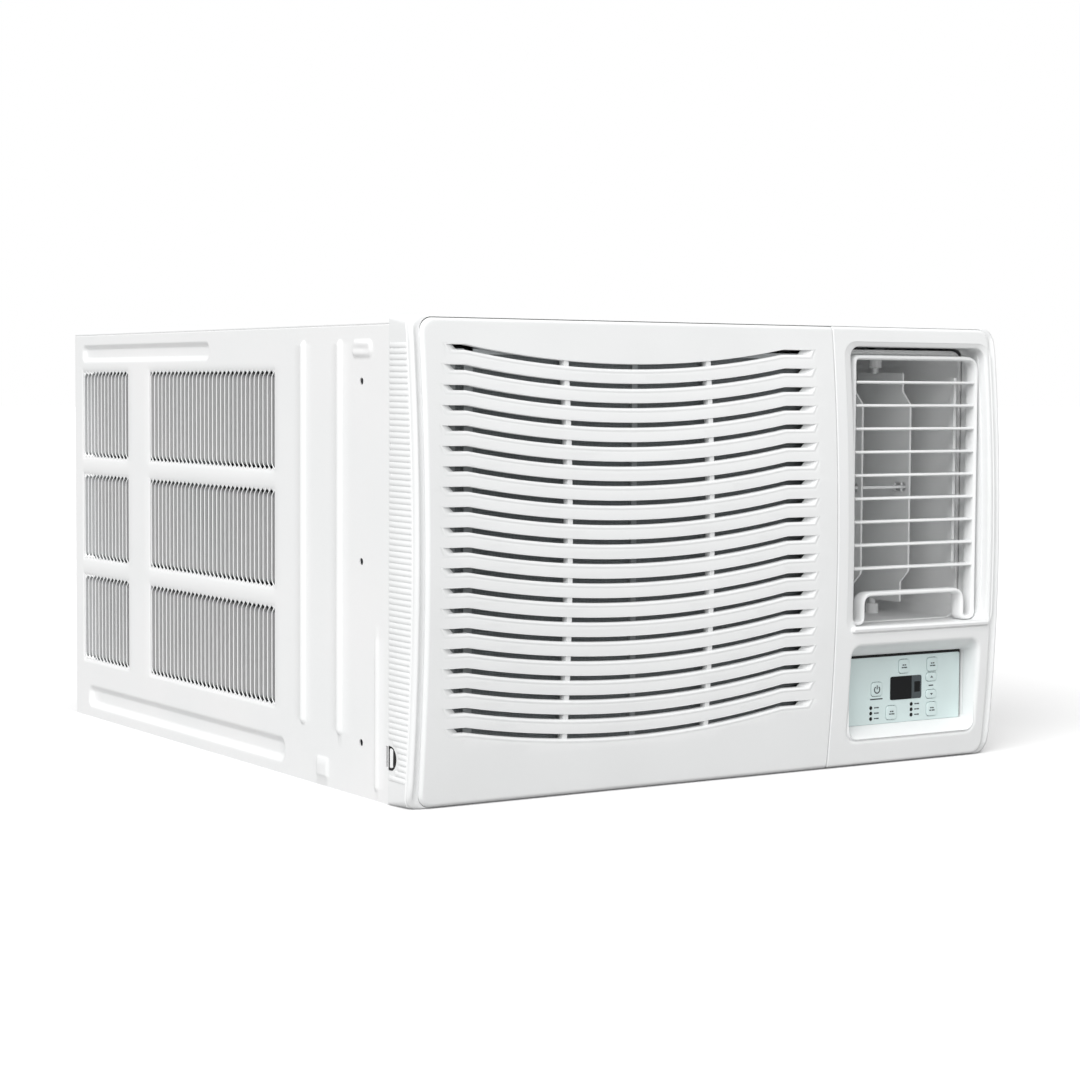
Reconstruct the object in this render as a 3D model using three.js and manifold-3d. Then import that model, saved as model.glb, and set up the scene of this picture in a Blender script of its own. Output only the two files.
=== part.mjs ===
// Window air conditioner with a curved intake grille on the left of its front and a discharge outlet with
// swinging louvres and a push-button panel on the right. Millimetres, +Z up, front facing -Y.
// Everything is modelled from the seam between the sheet-metal case and the plastic front (y = 0 there),
// and the outer group then moves that seam so that the origin is the middle of the footprint.
import * as THREE from "three";
import { mergeVertices } from "three/addons/utils/BufferGeometryUtils.js";
import { ConvexGeometry } from "three/addons/geometries/ConvexGeometry.js";
import Module from "manifold-3d";

const wasm = await Module();
wasm.setup();

// ---------------------------------------------------------------- driving dimensions
const FRONT_W = 680; // width of the plastic front
const FRONT_H = 430; // height of the plastic front
const CASE_W = 676; // width over the two side panels
const CASE_H = 427; // height to the top cover
const CASE_D = 720; // depth of the case behind the seam
const SHEET = 1.5; // sheet-metal thickness
const GAP = 0.3; // air between pieces that touch
const FACE_EDGE = 38; // how far the front face stands out at its top and bottom edges
const CROWN = 13; // how much further it bulges at mid height
const STEP = 8; // depth of the recess that holds the intake grille
const RIM = 2.5; // how far the border of the front lies behind its raised face
const SHELL = 3; // wall of the plastic front
const FACE_HALF_W = 330; // half width of the raised face
const SEAM_X = 127.2; // vertical joint between the intake grille and the outlet side
const SLOTS = 20; // intake slots
const SLOT_PITCH = 17.64;
const SLOT_H = 4.4;
const SLOT_TOP_Z = 403.1; // middle of the highest slot at its flat ends
const SLOT_SAG = 15.6; // how far each slot dips in the middle
const SLOT_MID_X = -110;
const SLOT_HALF_X = 176; // half width of the dipped stretch
const SLOT_X0 = -312;
const SLOT_X1 = 101;
const OUTLET = { x0: 150, x1: 323, z0: 137, z1: 410 }; // hole for the air outlet
const POCKET = { x0: 150, x1: 323, z0: 26, z1: 118 }; // mouth of the control pocket
const FASCIA = { x0: 160, x1: 313, z0: 37, z1: 106 }; // control panel at the pocket's floor
const FASCIA_Y = -23;
const AXLE_X = -40; // fan and blower axis
const AXLE_Z = 225;
const BULKHEAD_Y = 205;
const BLADES = 9; // horizontal louvre blades
const BLADE_PITCH = 22.8;
const BLADE_TOP_Z = 375.5;
const BLADE_AXIS_Y = -25;
const VANE_AXIS_Y = 66;
const VANE_X = [207.5, 270];
const DUCT = { x0: 155, x1: 320, z0: 138, z1: 404, wall: 4 };

const DEPTH = CASE_D + FACE_EDGE + CROWN;
const SEAM_Y = DEPTH / 2 - CASE_D; // where the seam lies once the origin is mid footprint

// ---------------------------------------------------------------- finishes
const finish = (color, roughness, metalness = 0) => ({ color, roughness, metalness });
const WHITE_PLASTIC = finish(0xeef0f0, 0.35);
const WHITE_PAINT = finish(0xf1f2f2, 0.4);
const GREY_PLASTIC = finish(0xb9bcbd, 0.5);
const DARK_PLASTIC = finish(0x25282a, 0.45);
const MINT_FILM = finish(0xcfdfde, 0.3);
const FOAM = finish(0xd8dadb, 0.85);
const ZINC_STEEL = finish(0xa9adb0, 0.45, 0.8);
const BLACK_PAINT = finish(0x1c1d1f, 0.4, 0.2);
const COPPER = finish(0xb87348, 0.35, 1);
const FIN_ALUMINIUM = finish(0xb9bec2, 0.4, 0.9);
const RUBBER = finish(0x1b1b1b, 0.85);
const FILTER_MESH = finish(0x5d646a, 0.8);
const BOARD_GREEN = finish(0x2f6b46, 0.5);

// ---------------------------------------------------------------- solids
// Coordinates are rounded to a micrometre, so that faces meant to be flush are flush.
function toSolid(geometry) {
  const bare = geometry.index ? geometry.toNonIndexed() : geometry;
  const position = bare.getAttribute("position");
  const values = position.array;
  for (let i = 0; i < values.length; i++) values[i] = Math.round(values[i] * 1000) / 1000;
  const merged = mergeVertices(new THREE.BufferGeometry().setAttribute("position", position), 1e-4);
  return new wasm.Manifold(
    new wasm.Mesh({
      numProp: 3,
      vertProperties: merged.attributes.position.array,
      triVerts: new Uint32Array(merged.index.array),
    }),
  );
}

function toGeometry(solid) {
  const mesh = solid.getMesh();
  const geometry = new THREE.BufferGeometry();
  geometry.setAttribute("position", new THREE.BufferAttribute(mesh.vertProperties.slice(), 3));
  geometry.setIndex(new THREE.BufferAttribute(mesh.triVerts.slice(), 1));
  geometry.computeVertexNormals();
  return geometry;
}

const join = (...solids) => solids.reduce((sum, s) => sum.add(s));
const cut = (solid, ...tools) => tools.reduce((left, t) => left.subtract(t), solid);

function box(x0, x1, y0, y1, z0, z1) {
  const geometry = new THREE.BoxGeometry(x1 - x0, y1 - y0, z1 - z0);
  geometry.translate((x0 + x1) / 2, (y0 + y1) / 2, (z0 + z1) / 2);
  return toSolid(geometry);
}

function extruded(outline, depth, matrix, arcs = 3) {
  const ready = outline instanceof THREE.Shape;
  const shape = ready ? outline : new THREE.Shape(outline.map(([a, b]) => new THREE.Vector2(a, b)));
  const settings = { depth, bevelEnabled: false, steps: 1, curveSegments: arcs };
  return toSolid(new THREE.ExtrudeGeometry(shape, settings).applyMatrix4(matrix));
}

// A (y, z) outline swept along x, an (x, z) outline swept along y, and an (x, y) outline swept along z.
const alongX = (points, x0, x1) =>
  extruded(points, x1 - x0, new THREE.Matrix4().set(0, 0, 1, x0, 1, 0, 0, 0, 0, 1, 0, 0, 0, 0, 0, 1));
const alongY = (points, y0, y1, arcs) =>
  extruded(points, y1 - y0, new THREE.Matrix4().set(1, 0, 0, 0, 0, 0, -1, y1, 0, 1, 0, 0, 0, 0, 0, 1), arcs);
const alongZ = (points, z0, z1) => extruded(points, z1 - z0, new THREE.Matrix4().makeTranslation(0, 0, z0));

function rounded(a0, a1, b0, b1, r) {
  const shape = new THREE.Shape();
  shape.moveTo(a0 + r, b0).lineTo(a1 - r, b0).absarc(a1 - r, b0 + r, r, -Math.PI / 2, 0);
  shape.lineTo(a1, b1 - r).absarc(a1 - r, b1 - r, r, 0, Math.PI / 2);
  shape.lineTo(a0 + r, b1).absarc(a0 + r, b1 - r, r, Math.PI / 2, Math.PI);
  shape.lineTo(a0, b0 + r).absarc(a0 + r, b0 + r, r, Math.PI, 1.5 * Math.PI);
  return shape;
}

// A round bar along an axis ("x", "y" or "z"), whose other two coordinates are a and b in axis order.
function rod(axis, a, b, radius, from, to, sides = 12) {
  const geometry = new THREE.CylinderGeometry(radius, radius, to - from, sides);
  const middle = (from + to) / 2;
  if (axis === "x") geometry.rotateZ(Math.PI / 2).translate(middle, a, b);
  if (axis === "y") geometry.translate(a, middle, b);
  if (axis === "z") geometry.rotateX(Math.PI / 2).translate(a, b, middle);
  return toSolid(geometry);
}

function pipe(points, radius, steps) {
  const curve = new THREE.CatmullRomCurve3(points.map((p) => new THREE.Vector3(...p)), false, "centripetal");
  const section = new THREE.Shape().absarc(0, 0, radius, 0, 2 * Math.PI);
  const settings = { extrudePath: curve, steps, bevelEnabled: false, curveSegments: 4 };
  return toSolid(new THREE.ExtrudeGeometry(section, settings));
}

const machine = new THREE.Group();
machine.position.y = SEAM_Y;

function piece(name, solid, look) {
  const mesh = new THREE.Mesh(toGeometry(solid), new THREE.MeshStandardMaterial(look));
  mesh.name = name;
  machine.add(mesh);
}

// ---------------------------------------------------------------- the crowned front
const crownRadius = ((FRONT_H / 2) ** 2 + CROWN ** 2) / (2 * CROWN);
const faceY = (z) => {
  const off = z - FRONT_H / 2;
  return -(FACE_EDGE + CROWN - (crownRadius - Math.sqrt(crownRadius ** 2 - off ** 2)));
};

// Points of the crowned line, moved back by inset, from z0 to z1.
function crownLine(inset, z0, z1, parts = 8) {
  const line = [];
  for (let i = 0; i <= parts; i++) {
    const z = z0 + ((z1 - z0) * i) / parts;
    line.push([faceY(z) + inset, z]);
  }
  return line;
}

// A crowned slab between two insets.
const slab = (x0, x1, z0, z1, near, far) =>
  alongX([...crownLine(far, z0, z1), ...crownLine(near, z0, z1).reverse()], x0, x1);
// Everything behind the crowned line, back to y = back.
const behindFace = (x0, x1, z0, z1, inset, back) =>
  alongX([[back, z0], [back, z1], ...crownLine(inset, z0, z1).reverse()], x0, x1);

const HINGE_Z = 423;
const HINGE_R = 3.7;
const HINGE_Y = faceY(HINGE_Z) + HINGE_R;
const CORD = { y: -5, z: 42 }; // middle of the cord's way out

function frontFrame() {
  const half = FRONT_W / 2;
  const outline = alongY(rounded(-half, half, 0, FRONT_H, 8), -70, 1);
  const shell = cut(
    behindFace(-half, half, 0, FRONT_H, RIM, 0).intersect(outline),
    behindFace(-half + SHELL, half - SHELL, SHELL, FRONT_H - SHELL, STEP + SHELL, 1),
    slab(-FACE_HALF_W - 0.5, SEAM_X + 0.4, 2.4, FRONT_H - 2.4, -2, STEP),
  );
  const blockX0 = SEAM_X + 0.4;
  const block = slab(blockX0, FACE_HALF_W, 2, FRONT_H - 2, 0, STEP + 0.5);
  const blockHollow = slab(blockX0 + SHELL, FACE_HALF_W - SHELL, 5, FRONT_H - 5, SHELL, STEP + SHELL + 1);
  const wall = 2.5;
  const collar = behindFace(OUTLET.x0 - wall, OUTLET.x1 + wall, OUTLET.z0 - wall, OUTLET.z1 + wall, 1, -6);
  const { x0: pocketX0, x1: pocketX1, z0: pocketZ0, z1: pocketZ1 } = POCKET;
  const pocket = behindFace(
    pocketX0 - wall, pocketX1 + wall, pocketZ0 - wall, pocketZ1 + wall, 1, FASCIA_Y + 3,
  );
  const outletHole = alongY(rounded(OUTLET.x0, OUTLET.x1, OUTLET.z0, OUTLET.z1, 8), -70, 1);
  const slopeCorners = [];
  for (const [p, y] of [[POCKET, -46], [FASCIA, FASCIA_Y]])
    for (const x of [p.x0, p.x1])
      for (const z of [p.z0, p.z1]) slopeCorners.push(new THREE.Vector3(x, y, z));
  const slope = toSolid(new ConvexGeometry(slopeCorners));
  const mouth = box(POCKET.x0, POCKET.x1, -70, -45.9, POCKET.z0, POCKET.z1);
  const floorHole = box(FASCIA.x0, FASCIA.x1, FASCIA_Y - 1, 1, FASCIA.z0, FASCIA.z1);
  const grilleHole = box(-322, 118, -70, -20, 14, 416);
  const pinHoles = [[-336, -329], [127, 132]].map(([x0, x1]) => rod("x", HINGE_Y, HINGE_Z, 2.4, x0, x1, 8));
  const body = join(cut(join(shell, block), blockHollow), collar, pocket);
  return cut(body, outletHole, slope, mouth, floorHole, grilleHole, cordHole(11.2, -345, -330), ...pinHoles);
}

// A half-round hole for a cord against the seam, seen from the side.
function cordHole(radius, x0, x1) {
  const round = rod("x", CORD.y, CORD.z, radius, x0, x1, 16);
  const flat = box(x0, x1, CORD.y, 1, CORD.z - radius, CORD.z + radius);
  return join(round, flat).intersect(box(x0 - 1, x1 + 1, -60, 0.5, 0, 90));
}

// One intake slot: flat at both ends and dipping between them.
function slotOutline(endZ, x0, x1) {
  const middle = [];
  const parts = 6;
  for (let i = 0; i <= parts; i++) {
    const t = -1 + (2 * i) / parts;
    middle.push([SLOT_MID_X + SLOT_HALF_X * t, endZ - SLOT_SAG * (1 - t * t)]);
  }
  const line = [[x0, endZ], ...middle, [x1, endZ]];
  const lower = line.map(([x, z]) => [x, z - SLOT_H / 2]);
  const upper = line.map(([x, z]) => [x, z + SLOT_H / 2]);
  return [...lower, ...upper.reverse()];
}

function intakeGrille() {
  const thick = STEP - 0.6;
  const edge = [];
  for (let i = 0; i <= 6; i++) {
    const turn = Math.PI * (i / 6);
    edge.push([HINGE_Y + HINGE_R * Math.cos(turn), HINGE_Z + HINGE_R * Math.sin(turn)]);
  }
  const outline = [
    ...crownLine(thick, 3, HINGE_Z), ...edge.slice(1, -1), ...crownLine(0, 3, HINGE_Z).reverse(),
  ];
  let panel = alongX(outline, -FACE_HALF_W, SEAM_X - 0.3);
  for (let i = 0; i < SLOTS; i++) {
    const off = (2 * i) / (SLOTS - 1) - 1;
    const x0 = SLOT_X0 + 8 * off ** 4;
    panel = panel.subtract(alongY(slotOutline(SLOT_TOP_Z - i * SLOT_PITCH, x0, SLOT_X1), -70, -20));
  }
  const ribs = [-181, -22].map((x) => slab(x - 3, x + 3, 40, 412, 5, thick));
  const pins = [
    rod("x", HINGE_Y, HINGE_Z, 2, -335, -325, 8),
    rod("x", HINGE_Y, HINGE_Z, 2, SEAM_X - 4, SEAM_X + 4, 8),
  ];
  return join(panel, ...ribs, ...pins);
}

// A filter frame with crossing bars, and the net as a thin sheet in its middle.
function airFilter() {
  const [near, far] = [-32.6, -28.6];
  const frame = cut(box(-316, 112, near, far, 22, 402), box(-308, 104, near - 1, far + 1, 30, 394));
  const net = box(-310, 106, far - 2.5, far - 1.5, 28, 396);
  const bars = [-205, -102, 1].map((x) => box(x - 3, x + 3, near, far, 25, 399));
  const cross = box(-312, 108, near, far, 209, 215);
  const lugs = [-250, 40].map((x) => box(x - 12, x + 12, near - 0.7, far, 396, 402));
  return join(frame, net, cross, ...bars, ...lugs);
}

piece("front_frame", frontFrame(), WHITE_PLASTIC);
piece("intake_grille", intakeGrille(), WHITE_PLASTIC);
piece("air_filter", airFilter(), FILTER_MESH);

// ---------------------------------------------------------------- air outlet
const FRAME = { x0: 157, x1: 320, z0: OUTLET.z0 + GAP, z1: 402, bar: 5.3, y0: -35, y1: -15 };
const bladeZ = (i) => BLADE_TOP_Z - i * BLADE_PITCH;
const LINK_X = 306;
const LINK_PIN_Y = -12;

function louvreFrame() {
  const { x0, x1, z0, z1, bar, y0, y1 } = FRAME;
  const foot = 17;
  const sill = bladeZ(BLADES) + 3; // top of the lower bar
  const outer = alongY(rounded(x0, x1, z0, z1, 7), y0, y1);
  const window = alongY(rounded(x0 + bar, x1 - bar, sill, z1 - bar, 5), y0 - 1, y1 + 1);
  const gap = alongY(rounded(x0 + foot, x1 - foot, z0 - 20, sill - bar, 8), y0 - 1, y1 + 1);
  const loops = [x0 + bar, x1 - foot + bar].map((x) =>
    box(x, x + foot - 2 * bar, y0 - 1, y1 + 1, z0 + bar, sill - bar));
  const lugs = [185, 290].map((x) => box(x, x + 12, y0 + 6, y1, z1 - 2, OUTLET.z1 - GAP));
  const slots = [];
  for (let i = 0; i < BLADES; i++)
    slots.push(box(x0 - 1, x1 + 1, BLADE_AXIS_Y - 1.8, y1 + 1, bladeZ(i) - 1.8, bladeZ(i) + 1.8));
  return cut(join(cut(outer, window, gap, ...loops), ...lugs), ...slots);
}

function bladeSolid(z) {
  const y = BLADE_AXIS_Y;
  const wing = [
    [y - 9, z - 0.5], [y, z - 1.1], [y + 9, z - 0.4], [y + 9, z + 0.4], [y, z + 1.1], [y - 9, z + 0.5],
  ];
  const bar = FRAME.bar;
  const crank = box(LINK_X - 4, LINK_X - 2, y + 5, LINK_PIN_Y + 1.2, z - 1.2, z + 1.2);
  return join(
    alongX(wing, FRAME.x0 + bar + 0.8, FRAME.x1 - bar - 0.8),
    rod("x", y, z, 1.5, FRAME.x0 + 0.6, FRAME.x1 - 0.6, 6),
    crank,
    rod("x", LINK_PIN_Y, z, 1.2, LINK_X - 3, LINK_X + 3.6, 6),
  );
}

function bladeLink() {
  const y = LINK_PIN_Y;
  const bar = box(LINK_X - 1, LINK_X + 2.4, y - 2.6, y + 4, bladeZ(BLADES - 1) - 5, bladeZ(0) + 5);
  const notches = [];
  for (let i = 0; i < BLADES; i++)
    notches.push(box(LINK_X - 2, LINK_X + 4, y - 4, y + 1.6, bladeZ(i) - 1.5, bladeZ(i) + 1.5));
  return cut(bar, ...notches);
}

piece("louvre_frame", louvreFrame(), WHITE_PLASTIC);
for (let i = 0; i < BLADES; i++) piece(`horizontal_blade_${i + 1}`, bladeSolid(bladeZ(i)), WHITE_PLASTIC);
piece("blade_link", bladeLink(), WHITE_PLASTIC);

const VANE = { front: 10, rear: 92, z0: 151, z1: 384.5, thick: 2.4, pinY: 23, pinZ: 270 };

function vaneSolid(x) {
  const { front, rear, z0, z1, thick, pinY, pinZ } = VANE;
  const back = front + 12; // the corners are cut back this far
  const outline = [
    [rear, z0], [rear, z1], [back, z1], [back, z1 - 21], [front, z1 - 33],
    [front, z0 + 33], [back, z0 + 21], [back, z0],
  ];
  const plate = alongX(outline, x - thick / 2, x + thick / 2);
  const notch = box(x - 5, x + 5, front - 1, pinY + 9, pinZ - 5, pinZ + 7);
  const pivots = [
    rod("z", x, VANE_AXIS_Y, 3.5, z1 - 1, DUCT.z1 + DUCT.wall - GAP, 10),
    rod("z", x, VANE_AXIS_Y, 3.5, DUCT.z0 - DUCT.wall + GAP, z0 + 1, 10),
  ];
  return join(cut(plate, notch), rod("z", x, pinY, 1.8, pinZ - 6, pinZ + 8, 8), ...pivots);
}

function vaneLink() {
  const { pinY, pinZ } = VANE;
  const bar = box(VANE_X[0] - 7, VANE_X[1] + 7, pinY - 5, pinY + 8, pinZ - 1.5, pinZ + 1.5);
  return cut(bar, ...VANE_X.map((x) => box(x - 2.6, x + 2.6, pinY - 2.4, pinY + 5, pinZ - 3, pinZ + 3)));
}

// A box duct, open at the front and, in the stretch behind the coil, to the scroll on its left.
function dischargeDuct() {
  const { x0, x1, z0, z1, wall } = DUCT;
  const shell = cut(
    box(x0 - wall, x1 + wall, -5, BULKHEAD_Y - GAP, z0 - wall, z1 + wall),
    box(x0, x1, -6, BULKHEAD_Y + 1, z0, z1),
    box(x0 - wall - 1, x0 + 1, 92, BULKHEAD_Y + 1, 284, 393),
  );
  const bosses = [];
  const bores = [];
  for (const x of VANE_X) {
    bosses.push(rod("z", x, VANE_AXIS_Y, 7, z1 - 14, z1 + 1, 12));
    bosses.push(rod("z", x, VANE_AXIS_Y, 7, z0 - 1, z0 + 11, 12));
    bores.push(rod("z", x, VANE_AXIS_Y, 4, z0 - wall - 1, z1 + wall + 1, 10));
  }
  return cut(join(shell, ...bosses), ...bores);
}

piece("vertical_vane_left", vaneSolid(VANE_X[0]), WHITE_PLASTIC);
piece("vertical_vane_right", vaneSolid(VANE_X[1]), WHITE_PLASTIC);
piece("vane_link", vaneLink(), WHITE_PLASTIC);
piece("discharge_duct", dischargeDuct(), FOAM);
piece("swing_motor", join(
  rod("z", VANE_X[1], VANE_AXIS_Y, 14, DUCT.z1 + DUCT.wall + GAP, 422, 16),
  box(VANE_X[1] - 21, VANE_X[1] + 21, VANE_AXIS_Y - 4, VANE_AXIS_Y + 4, DUCT.z1 + DUCT.wall + GAP, 410.5),
), ZINC_STEEL);

// ---------------------------------------------------------------- control panel
const KEY = 13.6; // side of a square key
const keys = {
  power_button: { x: 201.6, z: 72 },
  fan_speed_button: { x: 236.7, z: 93 },
  swing_button: { x: 274, z: 93 },
  temperature_up_button: { x: 273, z: 80.4, tall: 8.4 },
  temperature_down_button: { x: 273, z: 63, tall: 8.4 },
  mode_button: { x: 221, z: 47.4 },
  timer_button: { x: 274, z: 47.8 },
};
const keyShape = ({ x, z, tall = KEY }, grow) =>
  rounded(x - KEY / 2 - grow, x + KEY / 2 + grow, z - tall / 2 - grow, z + tall / 2 + grow, 3.4);
const DISPLAY = { x0: 219.5, x1: 260, z0: 60, z1: 83 };
const LIGHTS = { left: { x: 194.7, z: [53.6, 48.2, 42.8] }, right: { x: 247.3, z: [54.4, 49, 43.6] } };
const FILM = 2.3; // thickness of the control fascia

function controlFascia() {
  const { x0: left, x1: right, z0: low, z1: high } = FASCIA;
  const plate = box(left + GAP, right - GAP, FASCIA_Y, FASCIA_Y + FILM, low + GAP, high - GAP);
  const holes = Object.values(keys).map((k) => alongY(keyShape(k, 0.3), FASCIA_Y - 1, FASCIA_Y + 4, 2));
  const { x0, x1, z0, z1 } = DISPLAY;
  const window = box(x0 - GAP, x1 + GAP, FASCIA_Y - 1, FASCIA_Y + 4, z0 - GAP, z1 + GAP);
  const dots = [];
  for (const row of Object.values(LIGHTS))
    for (const z of row.z) dots.push(rod("y", row.x, z, 2, FASCIA_Y - 1, FASCIA_Y + 4, 8));
  return cut(plate, ...holes, window, ...dots);
}

const keySolid = (k) =>
  join(
    alongY(keyShape(k, 0), FASCIA_Y - 1, FASCIA_Y + 4, 2),
    alongY(keyShape(k, 0.65), FASCIA_Y + FILM + GAP, FASCIA_Y + 4, 2),
  );

function lightStrip({ x, z }) {
  const strip = box(x - 2.6, x + 2.6, FASCIA_Y + FILM + GAP, FASCIA_Y + 4, z[2] - 2.6, z[0] + 2.6);
  return join(strip, ...z.map((height) => rod("y", x, height, 1.7, FASCIA_Y - 0.4, FASCIA_Y + 3, 8)));
}

piece("control_fascia", controlFascia(), MINT_FILM);
for (const [name, k] of Object.entries(keys)) piece(name, keySolid(k), MINT_FILM);
function displayWindow() {
  const { x0, x1, z0, z1 } = DISPLAY;
  const rim = 1.5; // the window's flange behind the fascia
  return join(
    box(x0, x1, FASCIA_Y - 0.2, FASCIA_Y + 3, z0, z1),
    box(x0 - rim, x1 + rim, FASCIA_Y + FILM + GAP, FASCIA_Y + 4, z0 - rim, z1 + rim),
  );
}
piece("display_window", displayWindow(), DARK_PLASTIC);
piece("indicator_lights_left", lightStrip(LIGHTS.left), GREY_PLASTIC);
piece("indicator_lights_right", lightStrip(LIGHTS.right), GREY_PLASTIC);

const BOARD_Y = FASCIA_Y + 6;
piece("control_board", join(
  box(166, 307, BOARD_Y, BOARD_Y + 1.6, 36, 107),
  box(180, 200, BOARD_Y, BOARD_Y + 12, 84, 100),
  box(288, 300, BOARD_Y, BOARD_Y + 9, 60, 90),
), BOARD_GREEN);
piece("control_box", cut(box(141, 328, 8, 150, 12, 128), box(144, 325, 7, 147, 15, 125)), ZINC_STEEL);
piece("run_capacitor", rod("y", 290, 60, 22, 40, 125, 14), GREY_PLASTIC);

// ---------------------------------------------------------------- sheet-metal case
const caseHalf = CASE_W / 2;
const ventRows = [[287, 383], [175, 271], [63, 159]]; // lower and upper edge of each vent
const ventColumns = [[225, 517, 31], [573, 699, 13]]; // front and rear edge, and how many openings

// A side panel, with its vents opened between upright bars and three screw holes near its front edge.
function sidePanel(x0) {
  const openings = [];
  for (const [y0, y1, count] of ventColumns) {
    const pitch = (y1 - y0) / count;
    for (const [z0, z1] of ventRows)
      for (let i = 0; i < count; i++) {
        const start = y0 + pitch * (i + 0.2);
        openings.push(box(x0 - 1, x0 + SHEET + 1, start, start + pitch * 0.6, z0, z1));
      }
  }
  const screws = [49, 212, 373].map((z) => rod("x", 51, z, 2.2, x0 - 1, x0 + SHEET + 1, 8));
  return cut(box(x0, x0 + SHEET, GAP, CASE_D, 0, CASE_H), ...openings, ...screws);
}

piece("left_side_panel", sidePanel(-caseHalf), WHITE_PAINT);
piece("right_side_panel", sidePanel(caseHalf - SHEET), WHITE_PAINT);

const insideHalf = caseHalf - SHEET - GAP;
const lip = 14; // turned-down edge of the top cover
piece("top_cover", cut(
  box(-insideHalf, insideHalf, GAP, CASE_D, CASE_H - lip, CASE_H),
  box(-insideHalf + SHEET, insideHalf - SHEET, GAP - 1, CASE_D + 1, CASE_H - lip - 1, CASE_H - SHEET),
), WHITE_PAINT);

const TRAY_H = 22; // upturned edge of the base pan
const trayHalf = insideHalf - 5.5; // the pan slides in clear of what is pressed into the side panels
piece("base_pan", cut(
  box(-trayHalf, trayHalf, GAP, CASE_D, 0, TRAY_H),
  box(-trayHalf + SHEET, trayHalf - SHEET, GAP + SHEET, CASE_D - SHEET, SHEET, TRAY_H + 1),
), ZINC_STEEL);

// The grommet fills the cord's way out: a ring in the hole and a wider flange behind it.
function cordGrommet() {
  const bore = cordHole(6, -345, -330);
  const ring = cordHole(10.8, -339.7, -333);
  const flange = cordHole(12.6, -336.6, -334);
  const seam = box(-345, -330, -0.8, 2, 0, 90);
  return cut(join(ring, flange), bore, seam);
}
piece("cord_grommet", cordGrommet(), GREY_PLASTIC);

// ---------------------------------------------------------------- indoor side
const COIL = { x0: -318, x1: 120, y0: 24, y1: 64, z0: 70, z1: 402 };
piece("evaporator_coil", join(
  box(COIL.x0, COIL.x1, COIL.y0, COIL.y1, COIL.z0, COIL.z1),
  box(COIL.x0 - 2, COIL.x0 + 1, COIL.y0 - 6, COIL.y1 + 4, COIL.z0 - 4, COIL.z1 + 4),
  box(COIL.x1 - 1, COIL.x1 + 2, COIL.y0 - 6, COIL.y1 + 4, COIL.z0 - 4, COIL.z1 + 4),
), FIN_ALUMINIUM);

// Return bends standing on a strip, along a vertical coil edge. side is +1 or -1 along x.
function returnBends(x, y, z0, z1, count, side) {
  const pitch = (z1 - z0) / count;
  const strip = box(Math.min(x, x + side * 1.5), Math.max(x, x + side * 1.5), y - 7, y + 7, z0, z1);
  const bends = [];
  for (let i = 0; i < count; i++) {
    const geometry = new THREE.TorusGeometry(pitch * 0.3, 3.8, 4, 6);
    geometry.rotateX(Math.PI / 2);
    geometry.applyMatrix4(new THREE.Matrix4().makeTranslation(x + side, y, z0 + pitch * (i + 0.5)));
    bends.push(toSolid(geometry));
  }
  const reach = x + side * 40;
  const keep = box(Math.min(x, reach), Math.max(x, reach), y - 20, y + 20, z0 - 5, z1 + 5);
  return join(strip, ...bends).intersect(keep);
}
piece("evaporator_bends", returnBends(COIL.x1 + 2 + GAP, 44, 84, 388, 8, 1), COPPER);
piece("drain_tray", cut(box(-330, 134, 8, 84, 40, 62), box(-328, 132, 10, 82, 42, 63)), GREY_PLASTIC);

// The blower's scroll: it widens round the wheel and leaves to the right along the top.
const SCROLL = { y0: 90, y1: BULKHEAD_Y - GAP, tight: 112, wide: 168, wall: 2.5 };
function scrollOutline(grow) {
  const steps = 20;
  const points = [];
  for (let i = 0; i <= steps; i++) {
    const share = i / steps;
    const turn = Math.PI / 6 - share * ((300 / 180) * Math.PI);
    const r = SCROLL.tight + (SCROLL.wide - SCROLL.tight) * share + grow;
    points.push([AXLE_X + r * Math.cos(turn), AXLE_Z + r * Math.sin(turn)]);
  }
  const exitX = DUCT.x0 - DUCT.wall - GAP;
  const tongueZ = AXLE_Z + (SCROLL.tight + grow) * 0.5;
  points.push([exitX, AXLE_Z + SCROLL.wide + grow], [exitX, tongueZ + (grow ? -grow : 0)]);
  return points.reverse();
}

function blowerHousing() {
  const { y0, y1, wall } = SCROLL;
  const shell = cut(alongY(scrollOutline(wall), y0, y1), alongY(scrollOutline(0), y0 + wall, y1 + 1));
  const eye = rod("y", AXLE_X, AXLE_Z, 84, y0 - 1, y0 + wall + 1, 28);
  return cut(shell, eye, box(148, 170, y0 + wall, y1 + 1, 286, 392));
}

function blowerWheel() {
  const blades = [];
  const count = 24;
  for (let i = 0; i < count; i++) {
    const geometry = new THREE.BoxGeometry(20, 86, 1.6);
    geometry.rotateY(0.5).translate(89, 143, 0).rotateY((2 * Math.PI * i) / count);
    geometry.translate(AXLE_X, 0, AXLE_Z);
    blades.push(toSolid(geometry));
  }
  const round = (radius, y0, y1) => rod("y", AXLE_X, AXLE_Z, radius, y0, y1, 24);
  const ring = (y0, y1) => cut(round(100, y0, y1), round(80, y0 - 1, y1 + 1));
  const disc = rod("y", AXLE_X, AXLE_Z, 100, 184, 187, 24);
  const hub = rod("y", AXLE_X, AXLE_Z, 16, 165, 187, 12);
  const bore = rod("y", AXLE_X, AXLE_Z, 6.8, 160, 190, 12);
  return cut(join(ring(98, 102), disc, hub, ...blades), bore);
}

piece("blower_housing", blowerHousing(), FOAM);
piece("blower_wheel", blowerWheel(), GREY_PLASTIC);

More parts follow.
